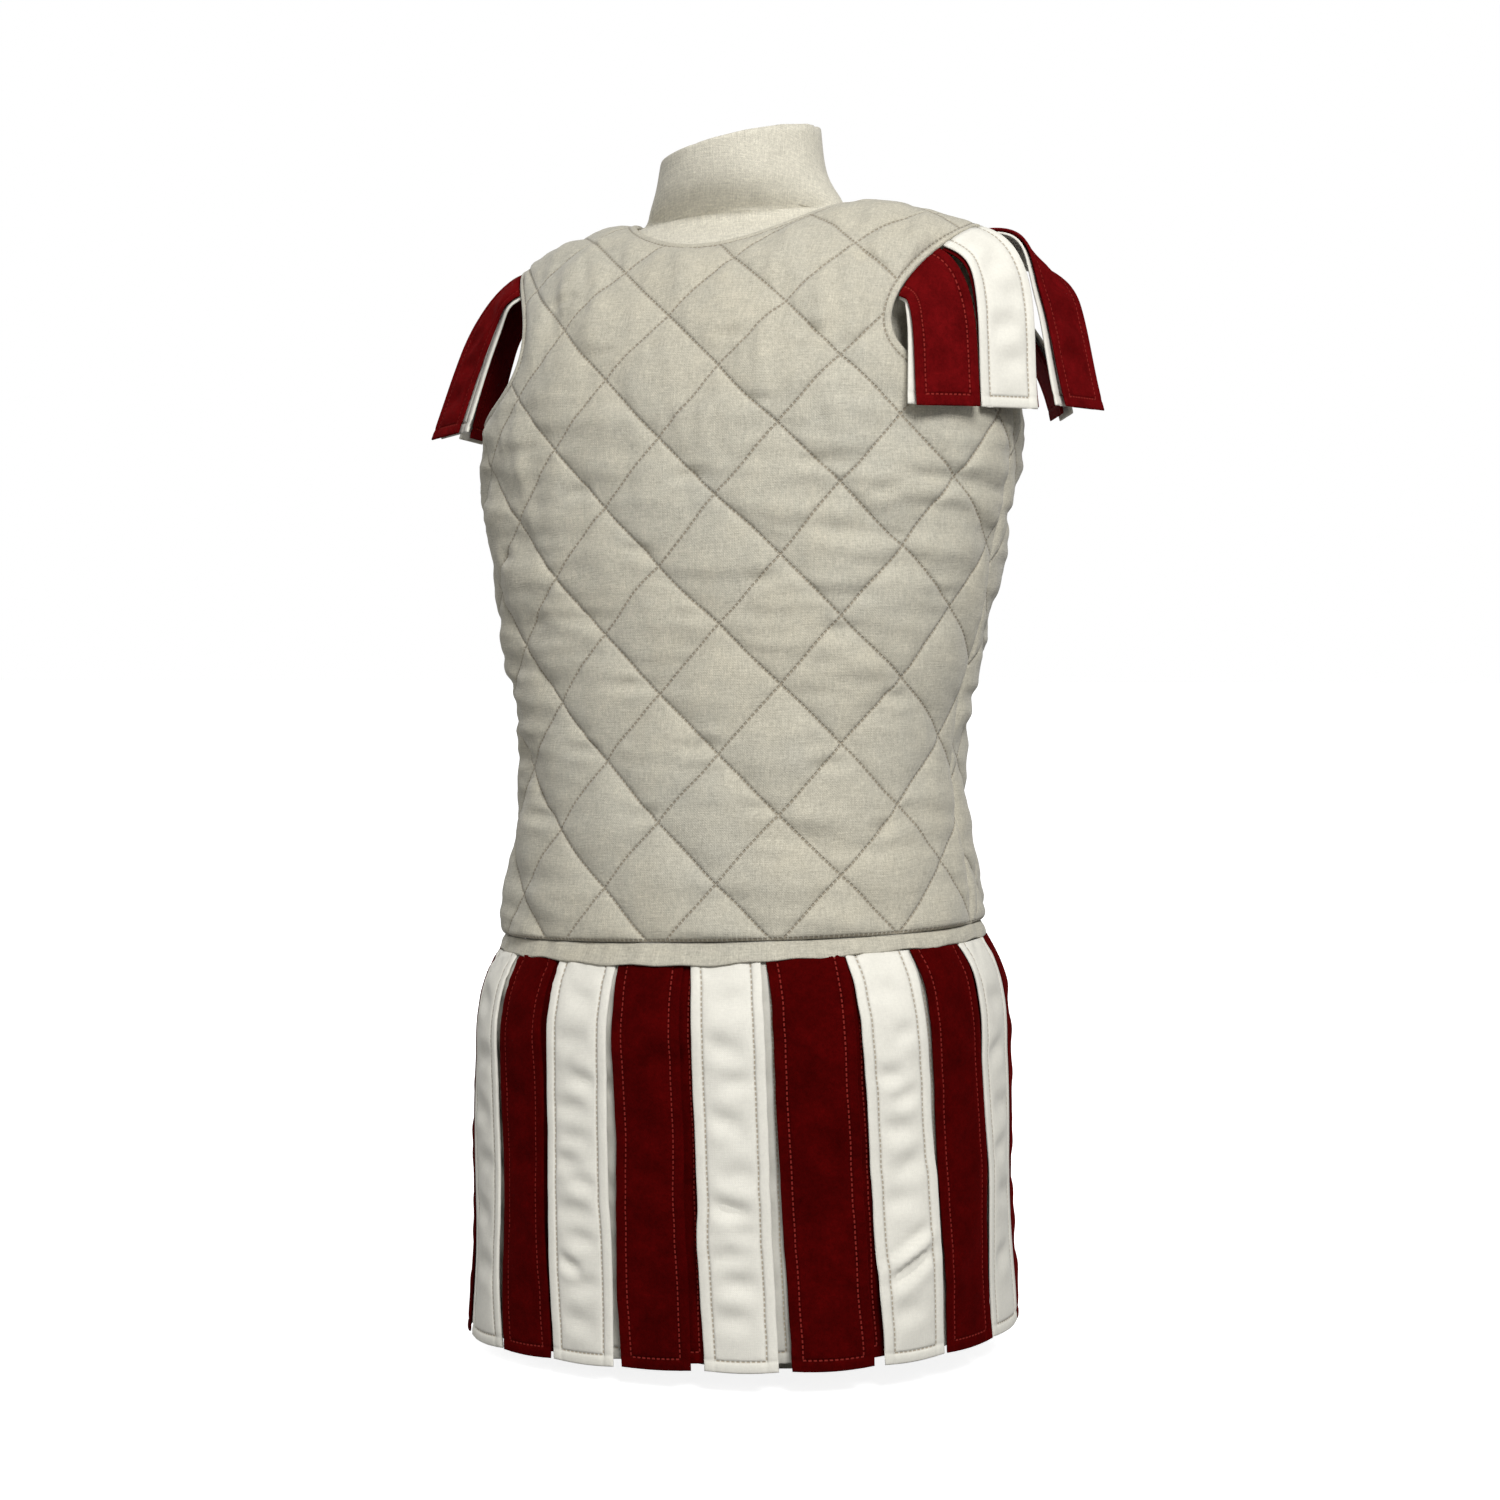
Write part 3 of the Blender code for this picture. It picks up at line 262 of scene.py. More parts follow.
# Here each row begins with the strip's number, counted round as STRIP_SET is.
STRIP_CREASES = (
    (0, -0.004, 0.030, 6, 0.030, 0.0060, 0.0013), (0, 0.006, 0.066, -12, 0.034, 0.0070, 0.0015),
    (0, -0.006, 0.104, 8, 0.036, 0.0080, 0.0016), (0, 0.005, 0.142, -6, 0.034, 0.0070, 0.0012),
    (0, -0.003, 0.176, 12, 0.036, 0.0078, 0.0015), (0, 0.004, 0.216, -9, 0.032, 0.0075, 0.0014),
    (1, 0.004, 0.027, -16, 0.034, 0.0052, 0.0013), (1, -0.005, 0.056, 10, 0.036, 0.0058, 0.0017),
    (1, 0.006, 0.079, -8, 0.028, 0.0046, 0.0013), (1, -0.004, 0.104, 15, 0.032, 0.0056, 0.0018),
    (1, 0.005, 0.139, -6, 0.036, 0.0064, 0.0014), (1, -0.003, 0.161, 17, 0.042, 0.0052, 0.0023),
    (1, 0.006, 0.176, 6, 0.026, 0.0040, 0.0012), (1, -0.006, 0.192, -12, 0.030, 0.0050, 0.0015),
    (1, 0.002, 0.209, 10, 0.036, 0.0058, 0.0017), (1, -0.004, 0.232, -5, 0.032, 0.0056, 0.0014),
    (2, 0.000, 0.044, 8, 0.036, 0.0080, 0.0015), (2, -0.006, 0.088, -14, 0.036, 0.0074, 0.0014),
    (2, 0.005, 0.124, 10, 0.036, 0.0080, 0.0016), (2, -0.004, 0.170, -6, 0.038, 0.0072, 0.0015),
    (2, 0.006, 0.214, 10, 0.036, 0.0080, 0.0014),
    (3, -0.002, 0.024, 12, 0.030, 0.0050, 0.0011), (3, 0.007, 0.052, -10, 0.028, 0.0052, 0.0013),
    (3, -0.008, 0.079, 6, 0.028, 0.0048, 0.0018), (3, 0.004, 0.093, -14, 0.030, 0.0044, 0.0014),
    (3, -0.003, 0.114, 10, 0.036, 0.0056, 0.0017), (3, 0.004, 0.138, -30, 0.040, 0.0060, 0.0015),
    (3, -0.006, 0.160, -12, 0.034, 0.0058, 0.0014), (3, -0.001, 0.1960, -30, 0.064, 0.0034, -0.0026),
    (3, 0.000, 0.2045, -29, 0.064, 0.0042, 0.0022), (3, 0.008, 0.184, -24, 0.026, 0.0044, 0.0010),
    (3, -0.006, 0.232, -8, 0.034, 0.0056, 0.0014),
    (4, 0.002, 0.040, -8, 0.034, 0.0080, 0.0014), (4, -0.004, 0.082, 12, 0.036, 0.0072, 0.0015),
    (4, 0.005, 0.130, -10, 0.036, 0.0080, 0.0015), (4, -0.005, 0.172, 7, 0.036, 0.0070, 0.0013),
    (4, 0.004, 0.214, -12, 0.034, 0.0080, 0.0014),
    (5, 0.000, 0.040, 10, 0.034, 0.0060, 0.0015), (5, -0.004, 0.074, -14, 0.036, 0.0056, 0.0017),
    (5, 0.003, 0.112, 12, 0.036, 0.0062, 0.0018), (5, -0.006, 0.140, -8, 0.030, 0.0052, 0.0014),
    (5, 0.004, 0.172, 16, 0.038, 0.0060, 0.0017), (5, -0.002, 0.214, -10, 0.034, 0.0060, 0.0016),
    (19, 0.003, 0.026, 8, 0.030, 0.0050, 0.0012), (19, -0.004, 0.053, -10, 0.034, 0.0060, 0.0017),
    (19, 0.007, 0.080, 8, 0.030, 0.0048, 0.0020), (19, -0.006, 0.098, -9, 0.034, 0.0054, 0.0016),
    (19, 0.002, 0.118, 5, 0.036, 0.0050, 0.0011), (19, -0.007, 0.133, -7, 0.030, 0.0050, 0.0018),
    (19, 0.006, 0.147, 12, 0.030, 0.0046, 0.0014), (19, -0.003, 0.166, -5, 0.036, 0.0058, 0.0017),
    (19, 0.003, 0.183, 14, 0.034, 0.0046, 0.0013), (19, -0.007, 0.201, 24, 0.026, 0.0038, 0.0021),
    (19, 0.004, 0.214, -16, 0.028, 0.0044, 0.0016), (19, -0.002, 0.238, 6, 0.034, 0.0056, 0.0014),
    (18, 0.002, 0.044, -10, 0.034, 0.0078, 0.0014), (18, -0.004, 0.092, 12, 0.036, 0.0080, 0.0016),
    (18, 0.004, 0.136, -6, 0.036, 0.0072, 0.0014), (18, -0.003, 0.180, 10, 0.036, 0.0078, 0.0015),
    (18, 0.004, 0.222, -8, 0.034, 0.0080, 0.0014),
    (17, -0.002, 0.032, 14, 0.034, 0.0060, 0.0016), (17, 0.004, 0.070, -12, 0.036, 0.0056, 0.0018),
    (17, -0.003, 0.106, 16, 0.038, 0.0064, 0.0018), (17, 0.005, 0.142, -8, 0.032, 0.0054, 0.0015),
    (17, -0.004, 0.176, 10, 0.036, 0.0062, 0.0017), (17, 0.003, 0.212, -10, 0.034, 0.0060, 0.0016),
    (16, 0.000, 0.050, 10, 0.034, 0.0080, 0.0015), (16, 0.004, 0.112, -10, 0.034, 0.0076, 0.0015),
    (16, -0.005, 0.162, 8, 0.036, 0.0080, 0.0014), (16, 0.003, 0.216, -6, 0.034, 0.0076, 0.0014),
)
WING_CREASES = (            # across from the middle, share of the way down, turn, length, width, depth
    (0.004, 0.26, 24, 0.036, 0.0070, 0.0014),
    (-0.006, 0.42, -14, 0.034, 0.0065, 0.0012),
    (0.003, 0.58, 18, 0.036, 0.0070, 0.0014),
    (-0.004, 0.76, -10, 0.034, 0.0070, 0.0013),
)


def length_setting(name, description, default, low, high):
    return FloatProperty(
        name=name, description=description, default=default, min=low, max=high, unit="LENGTH", precision=5)


def colour_setting(name, description, default):
    return FloatVectorProperty(
        name=name, description=description, default=default, min=0.0, max=1.0, subtype="COLOR")


def power_setting(name, description, default):
    return FloatProperty(name=name, description=description, default=default, min=0.0, max=1000.0, unit="POWER")


class GambesonSizes(bpy.types.PropertyGroup):
    """Sizes of the quilting, the sewing and the cloth's surface."""

    mesh_step: length_setting("Mesh step", "Side of the quilted mesh's faces", 0.0029, 0.0015, 0.02)
    puff: length_setting("Puff", "How far the padding stands out between stitch lines", 0.0040, 0.0, 0.012)
    puff_fall: length_setting("Puff fall", "Distance over which it falls to a stitch line", 0.0095, 0.001, 0.03)
    pinch: length_setting("Pinch", "How much deeper the thread pulls right at a stitch line", 0.0006, 0.0, 0.003)
    pinch_fall: length_setting("Pinch fall", "Distance over which that pull fades", 0.0030, 0.0005, 0.01)
    rumple: length_setting("Rumple", "Height of the padding's own wrinkles", 0.0034, 0.0, 0.006)
    pucker: length_setting("Pucker", "Height of the small puckers beside the stitching", 0.00034, 0.0, 0.002)
    wander: length_setting("Wander", "How far the sewn lines stray from straight", 0.0016, 0.0, 0.005)
    edge_band: length_setting("Edge band", "Width of the turned neck and armhole edges", 0.0056, 0.003, 0.02)
    edge_bead: length_setting("Edge bead", "How far the turned edge stands out", 0.0005, 0.0, 0.005)
    stitch: length_setting("Stitch", "Length of one quilting stitch with its space", 0.0033, 0.001, 0.01)
    topstitch_inset: length_setting(
        "Topstitch inset", "Topstitching from a strip's edge", 0.0075, 0.002, 0.02)
    strip_bead: length_setting(
        "Strip bead", "How far a strip's edge rolls out past its topstitching", 0.0004, 0.0, 0.003)
    thread: length_setting("Linen thread", "Spacing of the linen's threads", 0.0008, 0.0002, 0.005)


class GambesonColours(bpy.types.PropertyGroup):
    """Colours of the cloths and threads."""

    linen: colour_setting("Linen", "Quilted linen", (0.424, 0.406, 0.340))
    linen_warm: colour_setting("Linen, warm", "The warmer threads of the linen", (0.445, 0.412, 0.325))
    form_linen: colour_setting("Form linen", "Cover of the dress form", (0.560, 0.530, 0.440))
    skirt_red: colour_setting("Skirt red", "Dark red skirt strips", (0.052, 0.0008, 0.0008))
    shoulder_red: colour_setting("Shoulder red", "Red shoulder strips", (0.095, 0.0024, 0.0030))
    white: colour_setting("White", "Off-white strips", (0.690, 0.670, 0.598))
    tan_thread: colour_setting("Tan thread", "Topstitching on the off-white strips", (0.34, 0.27, 0.18))
    red_thread: colour_setting("Red thread", "Topstitching on the red strips", (0.26, 0.028, 0.022))
    # The quilting thread's colour with painted shade in its holes, also painted into the stitch dents as shade.
    dark_thread_and_dent_shade: colour_setting("Dark thread", "Quilting thread in its holes", (0.190, 0.145, 0.090))


class GambesonStage(bpy.types.PropertyGroup):
    """Camera and studio light."""

    azimuth: FloatProperty(
        name="Azimuth", description="Camera's turn from the front towards +X", default=math.radians(22.0),
        subtype="ANGLE")
    distance: length_setting("Distance", "Camera to the figure's axis", 1.9, 0.5, 10.0)
    eye_height: length_setting("Eye height", "Camera over the floor", 0.4725, 0.0, 3.0)
    lens: FloatProperty(name="Lens", description="Focal length in millimetres", default=65.14, min=20, max=200)
    key_power: power_setting("Key light", "Power of the soft key light", 72.0)
    fill_power: power_setting("Fill light", "Power of the broad fill light", 8.0)
    back_power: power_setting("Back light", "Power of the low light behind the figure", 24.0)
    surround: FloatProperty(
        name="Surround", description="Light from the white surround", default=0.42, min=0.0, max=5.0)
    floor_shade: FloatProperty(
        name="Floor shade", description="How much of its light the floor throws back at the figure", default=0.26,
        min=0.0, max=1.0)
    floor_glow: FloatProperty(
        name="Floor glow", description="Light added to the floor where the camera sees it", default=0.85, min=0.0,
        max=2.0)


# ---------------------------------------------------------------- the worn form

def smooth(table, columns, name, at):
    """A cubic curve through one column of a table, against its first column."""
    rows = np.array(table)
    xs = rows[:, 0]
    ys = rows[:, columns.index(name)]
    slopes = np.gradient(ys, xs)
    at = np.clip(at, xs[0], xs[-1])
    i = np.clip(np.searchsorted(xs, at) - 1, 0, len(xs) - 2)
    width = xs[i + 1] - xs[i]
    t = (at - xs[i]) / width
    return (
        ys[i] * (1 + 2 * t) * (1 - t) ** 2
        + slopes[i] * width * t * (1 - t) ** 2
        + ys[i + 1] * t * t * (3 - 2 * t)
        - slopes[i + 1] * width * t * t * (1 - t)
    )


RINGS = {}


def ring(table, columns, at):
    """Half of a section from the centre front round to the centre back: x, y and arc length."""
    key = (columns[0], round(float(at), 7))
    if key not in RINGS:
        half_width, front, back, set_back = [smooth(table, columns, name, at) for name in columns[1:]]
        t = np.linspace(0.0, math.pi, RING_STEPS + 1)
        cosine = np.cos(t)
        depth = np.where(cosine > 0, front, back)
        x = half_width * np.abs(np.sin(t)) ** (2 / SECTION_POWER)
        y = set_back - depth * np.sign(cosine) * np.abs(cosine) ** (2 / SECTION_POWER)
        arc = np.concatenate(([0.0], np.cumsum(np.hypot(np.diff(x), np.diff(y)))))
        RINGS[key] = (x, y, arc)
    return RINGS[key]


def body_ring(rise):
    return ring(FIGURE, FIGURE_COLUMNS, rise)


def skirt_ring(drop):
    return ring(SKIRT, SKIRT_COLUMNS, drop)


ASIDE = 0.002               # directions along a line are taken between its points this far to both sides


def round_ring(section, along):
    """The points at signed arc lengths from the centre front, to the wearer's left when positive."""
    x, y, arc = section
    half = arc[-1]
    turned = (np.asarray(along) + half) % (2 * half) - half
    side = np.where(turned >= 0, 1.0, -1.0)
    return side * np.interp(np.abs(turned), arc, x), np.interp(np.abs(turned), arc, y)


def ring_point(section, along, out, z):
    """Points round a section, moved out from it."""
    x0, y0 = round_ring(section, along - ASIDE)
    x1, y1 = round_ring(section, along + ASIDE)
    x, y = round_ring(section, along)
    length = np.hypot(x1 - x0, y1 - y0)
    return np.stack((x + out * (y1 - y0) / length, y + out * (x0 - x1) / length, z + 0 * x), axis=-1)


CHEST_RING = body_ring(CHEST_RISE)
HALF_CHEST = float(CHEST_RING[2][-1])
QUARTER = RING_STEPS // 2
CHEST_SET_BACK = float(CHEST_RING[1][QUARTER])


def ridge(x):
    """Height and set-back of the shoulder ridge at a distance from the middle."""
    span = np.maximum(0.0, np.abs(x) - RIDGE_FLAT) / (TIP_X - RIDGE_FLAT)
    height = RIDGE_HEIGHT - RIDGE_FALL * span**RIDGE_POWER
    set_back = RIDGE_SET_BACK[0] + (RIDGE_SET_BACK[1] - RIDGE_SET_BACK[0]) * np.minimum(1.0, span)
    return height, set_back


PAST_RIDGE = 0.25           # the table of the worn form runs this angle over the ridge
SHOULDER_ANGLES = np.linspace(0.0, math.pi / 2 + PAST_RIDGE, 241)
RIDGE_STEP = int(round(240 * (math.pi / 2) / (math.pi / 2 + PAST_RIDGE)))
FAR_PAST_RIDGE = 400.0      # and then straight on for this many of its last steps


def shoulder_curve(x, y_chest):
    """From the chest ring up and over the ridge, in the plane of one x: y, z and arc length."""
    top, set_back = ridge(x)
    middle = CHEST_SET_BACK + (set_back - CHEST_SET_BACK) * np.sin(SHOULDER_ANGLES)
    y = middle + (y_chest - CHEST_SET_BACK) * np.cos(SHOULDER_ANGLES)
    z = CHEST_HEIGHT + (top - CHEST_HEIGHT) * np.sin(SHOULDER_ANGLES)
    y = np.append(y, y[-1] + FAR_PAST_RIDGE * (y[-1] - y[-2]))
    z = np.append(z, z[-1] + FAR_PAST_RIDGE * (z[-1] - z[-2]))
    arc = np.concatenate(([0.0], np.cumsum(np.hypot(np.diff(y), np.diff(z)))))
    return y, z, arc


def lean(points):
    """The whole figure's slight slope to one side."""
    points[..., 2] += LEAN * points[..., 0] * np.clip(points[..., 2] / LEAN_START, 0.0, 1.0)
    return points


class WornTable:
    """Where flat places of one panel lie on the figure, from a fine table with cubic steps between."""

    S_REACH = 0.272
    H_LOW = -0.012
    H_HIGH = 0.610

    def __init__(self, panel):
        self.s = np.arange(-self.S_REACH, self.S_REACH + TABLE_STEP, TABLE_STEP)
        self.h = np.arange(self.H_LOW, self.H_HIGH, TABLE_STEP)
        points = np.zeros((len(self.h), len(self.s), 3))
        low = self.h <= CHEST_RISE
        for j in np.flatnonzero(low):
            section = body_ring(max(0.0, self.h[j]))
            start = 0.0 if panel == "front" else section[2][-1]
            x, y = round_ring(section, start + self.s)
            points[j] = np.stack((x, y, np.full_like(x, SEAM_HEIGHT + self.h[j])), axis=1)
        start = 0.0 if panel == "front" else HALF_CHEST
        xs, ys = round_ring(CHEST_RING, start + self.s)
        up = self.h[~low] - CHEST_RISE
        for i, (x, y_chest) in enumerate(zip(xs, ys)):
            y, z, arc = shoulder_curve(x, y_chest)
            points[~low, i] = np.stack(
                (np.full_like(up, x), np.interp(up, arc, y), np.interp(up, arc, z)), axis=1)
        near = np.exp(-(((self.h - CHEST_RISE) / CHEST_BLEND) ** 2))[:, None, None]
        for _ in range(CHEST_EASINGS):
            eased = points.copy()
            eased[1:-1] = (points[:-2] + 2 * points[1:-1] + points[2:]) / 4
            points = points + near * (eased - points)
        self.points = points
        across = np.gradient(points, axis=1)
        upward = np.gradient(points, axis=0)
        normals = np.cross(across, upward)
        self.normals = normals / np.maximum(np.linalg.norm(normals, axis=2), 1e-12)[..., None]

    @staticmethod
    def weights(t):
        return (
            0.5 * (-t + 2 * t**2 - t**3),
            0.5 * (2 - 5 * t**2 + 3 * t**3),
            0.5 * (t + 4 * t**2 - 3 * t**3),
            0.5 * (-(t**2) + t**3),
        )

    def sample(self, grid, s, h):
        a = np.clip((s + self.S_REACH) / TABLE_STEP, 1, len(self.s) - 3)
        b = np.clip((h - self.H_LOW) / TABLE_STEP, 1, len(self.h) - 3)
        i = a.astype(int)
        j = b.astype(int)
        found = 0.0
        for m, row_share in enumerate(self.weights(b - j)):
            line = 0.0
            for k, share in enumerate(self.weights(a - i)):
                line = line + share[:, None] * grid[j + m - 1, i + k - 1]
            found = found + row_share[:, None] * line
        return found

    def place(self, s, h, out):
        normal = self.sample(self.normals, s, h)
        normal /= np.linalg.norm(normal, axis=1)[:, None]
        return self.sample(self.points, s, h) + out[:, None] * normal


# ---------------------------------------------------------------- the panels' cut

def quarter_girth(panel, rise):
    """Half of the panel's width at a height: from its centre line to the side seam."""
    arc = body_ring(rise)[2]
    front = arc[QUARTER]
    return float(front if panel == "front" else arc[-1] - front)


def chest_column(panel, x):
    """How far along the panel the column at this x stands, and its shoulder curve."""
    xs, _, arc = CHEST_RING
    if panel == "front":
        s = float(np.interp(x, xs[: QUARTER + 1], arc[: QUARTER + 1]))
        start = 0.0
    else:
        s = float(np.interp(x, xs[: QUARTER - 1 : -1], arc[-1] - arc[: QUARTER - 1 : -1]))
        start = -HALF_CHEST
    return s, shoulder_curve(x, round_ring(CHEST_RING, start + s)[1])


def at_height(panel, x, z):
    s, (_, zs, arc) = chest_column(panel, x)
    return s, CHEST_RISE + float(np.interp(z, zs[: RIDGE_STEP + 1], arc[: RIDGE_STEP + 1]))


def at_depth(panel, x, y):
    s, (ys, _, arc) = chest_column(panel, x)
    order = 1.0 if panel == "front" else -1.0
    return s, CHEST_RISE + float(np.interp(order * y, order * ys, arc))


def armhole_curve(panel, steps):
    """The armhole from its foot at the side seam up to the shoulder tip, as (x, height)."""
    tip = np.array((TIP_X, float(ridge(TIP_X)[0])))
    foot = np.array((float(CHEST_RING[0][QUARTER]), CHEST_HEIGHT + ARMPIT_RISE))
    upper, lower = [np.array((x, SEAM_HEIGHT + rise)) for x, rise in ARMHOLE_PULL[panel]]
    t = np.linspace(0.0, 1.0, steps + 1)[:, None]
    return bezier((foot, lower, upper, tip), t)


def cut_stretches(panel):
    """The half panel's cut as its named stretches, from the waist's middle round to the neck's middle."""
    half_gap = GAP / 2
    waist = [(quarter_girth(panel, 0.0) * i / 40, 0.0) for i in range(40)]
    waist.append((quarter_girth(panel, 0.0) - half_gap, 0.0))
    rises = [CHEST_RISE * i / 60 for i in range(61)]
    side = [(quarter_girth(panel, rise) - half_gap, rise) for rise in rises]
    armhole = [at_height(panel, x, z) for x, z in armhole_curve(panel, 60)]
    armhole[0] = (armhole[0][0] - half_gap, armhole[0][1])
    side.append(armhole[0])
    shoulder = []
    for i in range(25):
        x = TIP_X + (NECK_HALF_WIDTH - TIP_X) * i / 24
        s, h = at_depth(panel, x, float(ridge(x)[1]))
        shoulder.append((s, h - half_gap))
    armhole[-1] = shoulder[0]
    neck = [shoulder[-1]]
    for i in range(1, 33):
        angle = math.pi / 2 * i / 32
        y = RIDGE_SET_BACK[0] + math.sin(angle) * NECK_DEPTH[panel]
        neck.append(at_depth(panel, NECK_HALF_WIDTH * math.cos(angle), y))
    return {name: np.array(points) for name, points in
            (("waist", waist), ("side", side), ("armhole", armhole), ("shoulder", shoulder), ("neck", neck))}


def line_distance(points, line):
    """Distance of each point from an open line, and how far along it the nearest place is."""
    a = line[:-1]
    along = np.diff(line, axis=0)
    lengths = np.hypot(*along.T)
    starts = np.concatenate(([0.0], np.cumsum(lengths)))[:-1]
    best = np.full(len(points), np.inf)
    where = np.zeros(len(points))
    for start, (ax, ay), (dx, dy), length in zip(starts, a, along, lengths):
        px, py = points[:, 0] - ax, points[:, 1] - ay
        t = np.clip((px * dx + py * dy) / (length * length), 0.0, 1.0)
        distance = np.hypot(px - t * dx, py - t * dy)
        closer = distance < best
        best[closer] = distance[closer]
        where[closer] = (start + t * length)[closer]
    return best, where


def lattice(s, h):
    """Counts of stitch lines crossed along the two slanting directions."""
    s = s - DIAMOND_START[0]
    h = h - DIAMOND_START[1]
    across = (s - DIAMOND_DRIFT * h) / DIAMOND_WIDTH
    up = (h - DIAMOND_RISE * s) / DIAMOND_HEIGHT
    return up + across, up - across


def lattice_lines():
    """For each direction of stitch lines: the change of its count over s and h, and the count at nought."""
    found = []
    for side in (1, -1):
        over_s = side / DIAMOND_WIDTH - DIAMOND_RISE / DIAMOND_HEIGHT
        over_h = 1 / DIAMOND_HEIGHT - side * DIAMOND_DRIFT / DIAMOND_WIDTH
        found.append((over_s, over_h, -over_s * DIAMOND_START[0] - over_h * DIAMOND_START[1]))
    return found


# ---------------------------------------------------------------- meshes

def finish_mesh(piece_name, mesh, material, points, flat, marks=()):
    """Places a flat mesh's vertices and keeps their flat coordinates as its UV map and marks as attributes."""
    data = bpy.data.meshes.new(piece_name)
    mesh.to_mesh(data)
    mesh.free()
    order = np.empty(len(data.loops), dtype=np.int32)
    data.loops.foreach_get("vertex_index", order)
    layer = data.uv_layers.new(name=CUT)
    layer.uv.foreach_set("vector", flat[order].astype(np.float32).ravel())
    for name, values in dict(marks).items():
        mark = data.attributes.new(name, "FLOAT", "POINT")
        mark.data.foreach_set("value", np.asarray(values, dtype=np.float32))
    data.vertices.foreach_set("co", lean(points).astype(np.float32).ravel())
    data.update()
    mesh = bmesh.new()
    mesh.from_mesh(data)
    bmesh.ops.remove_doubles(mesh, verts=mesh.verts[:], dist=1e-6)
    bmesh.ops.recalc_face_normals(mesh, faces=mesh.faces[:])
    mesh.to_mesh(data)
    mesh.free()
    data.shade_smooth()
    data.materials.append(material)
    piece = bpy.data.objects.new(piece_name, data)
    bpy.context.scene.collection.objects.link(piece)
    return piece


def flat_places(mesh):
    """The flat coordinates of a bmesh's vertices, in their order."""
    mesh.verts.index_update()
    return np.array([vertex.co[:] for vertex in mesh.verts])


def add_wall(mesh):
    """Doubles a flat sheet into two faces joined at the rim; the inner one stands at z = 1."""
    made = bmesh.ops.extrude_face_region(mesh, geom=mesh.faces[:], use_keep_orig=True)
    inner = [item for item in made["geom"] if isinstance(item, bmesh.types.BMVert)]
    bmesh.ops.translate(mesh, verts=inner, vec=(0.0, 0.0, 1.0))


def cut_along(mesh, direction, offsets):
    """Cuts a flat mesh along parallel lines, in the order of their offsets, going over only what lies ahead."""
    ahead = mesh.faces[:]
    direction = Vector(direction)
    for offset in offsets:
        edges = {edge for face in ahead for edge in face.edges}
        verts = {vertex for face in ahead for vertex in face.verts}
        made = bmesh.ops.bisect_plane(
            mesh, geom=list(verts) + list(edges) + ahead, dist=1e-7, plane_co=direction * offset,
            plane_no=direction)
        ahead = [item for item in made["geom"] if isinstance(item, bmesh.types.BMFace)
                 and item.calc_center_median().dot(direction) > offset]
        if not ahead:
            break


EDGE_RINGS = (0.0005, 0.0009, 0.0010, 0.0011, 0.0011, 0.0012, 0.0012)
STITCH_CUTS = (0.0011, 0.0024, 0.0043)
LEAST_EDGE = 0.0002


def cell_cuts(spacing, step):
    """Places of the cuts from one stitch line to the next: close together beside both, then even."""
    near = [place for place in STITCH_CUTS if step < 0.005]
    first = near[-1] if near else 0.0
    count = max(3, round((spacing - 2 * first) / step))
    middle = [first + (spacing - 2 * first) * i / count for i in range(1, count)]
    return [0.0] + near + middle + [spacing - place for place in near[::-1]]


def quilt_sheet(outline, step):
    """The flat cut, with rings of faces inside its edge and cuts along both directions of the quilting."""
    mesh = bmesh.new()
    mesh.faces.new([mesh.verts.new((s, h, 0.0)) for s, h in outline])
    for thickness in EDGE_RINGS:
        middle = max(mesh.faces, key=lambda face: face.calc_area())
        bmesh.ops.remove_doubles(mesh, verts=middle.verts[:], dist=1.7 * thickness)
        middle = max(mesh.faces, key=lambda face: face.calc_area())
        bmesh.ops.inset_region(mesh, faces=[middle], thickness=thickness, use_even_offset=True, use_boundary=True)
    for over_s, over_h, at_start in lattice_lines():
        slope = math.hypot(over_s, over_h)
        counts = over_s * outline[:, 0] + over_h * outline[:, 1] + at_start
        lines = range(math.floor(counts.min()), math.ceil(counts.max()))
        cuts = cell_cuts(1 / slope, step)
        offsets = [(line - at_start) / slope + cut for line in lines for cut in cuts]
        cut_along(mesh, (over_s / slope, over_h / slope, 0.0), offsets)
    bmesh.ops.remove_doubles(mesh, verts=mesh.verts[:], dist=LEAST_EDGE)
    bmesh.ops.dissolve_degenerate(mesh, edges=mesh.edges[:], dist=1e-6)
    return mesh


GOLDEN_TURN = 2.39996       # in radians: keeps the ripples of neighbouring lines apart
CREASE_BANK = (0.45, 2.1)   # height of a crease's banks, and their distance from its middle in widths


def crease_height(across, down, creases):
    """Sum of soft troughs and ridges, each with a lower bank on both of its sides."""
    height = np.zeros_like(across)
    bank_height, bank_place = CREASE_BANK
    for x, y, turn, length, width, depth in creases:
        c, s = math.cos(math.radians(turn)), math.sin(math.radians(turn))
        along = ((across - x) * c + (down - y) * s) / (length / 2)
        beside = (-(across - x) * s + (down - y) * c) / width
        window = np.clip(1 - along**2, 0.0, 1.0) ** 1.5
        bank = bank_height * (np.exp(-((beside - bank_place) ** 2)) + np.exp(-((beside + bank_place) ** 2)))
        height += depth * window * (bank - np.exp(-(beside**2)))
    return height


def ramp(x, start, width):
    """Rises evenly from 0 at the start to 1 a width further on."""
    return np.clip((x - start) / width, 0.0, 1.0)


def eased(share):
    return share * share * (3 - 2 * share)


def bezier(handles, t):
    """The points of a cubic curve at these shares of its way."""
    weights = ((1 - t) ** 3, 3 * t * (1 - t) ** 2, 3 * t * t * (1 - t), t**3)
    return sum(weight * handle for weight, handle in zip(weights, handles))


def ripple(along, line, lengths=(0.0103, 0.0147, 0.0236)):
    """An uneven run of puckers along a numbered line."""
    total = 0.0
    for k, length in enumerate(lengths):
        phase = GOLDEN_TURN * line * (k + 1) + 1.3 * k
        total = total + np.sin(2 * math.pi * along / length + phase)
    return total / len(lengths) * 1.5


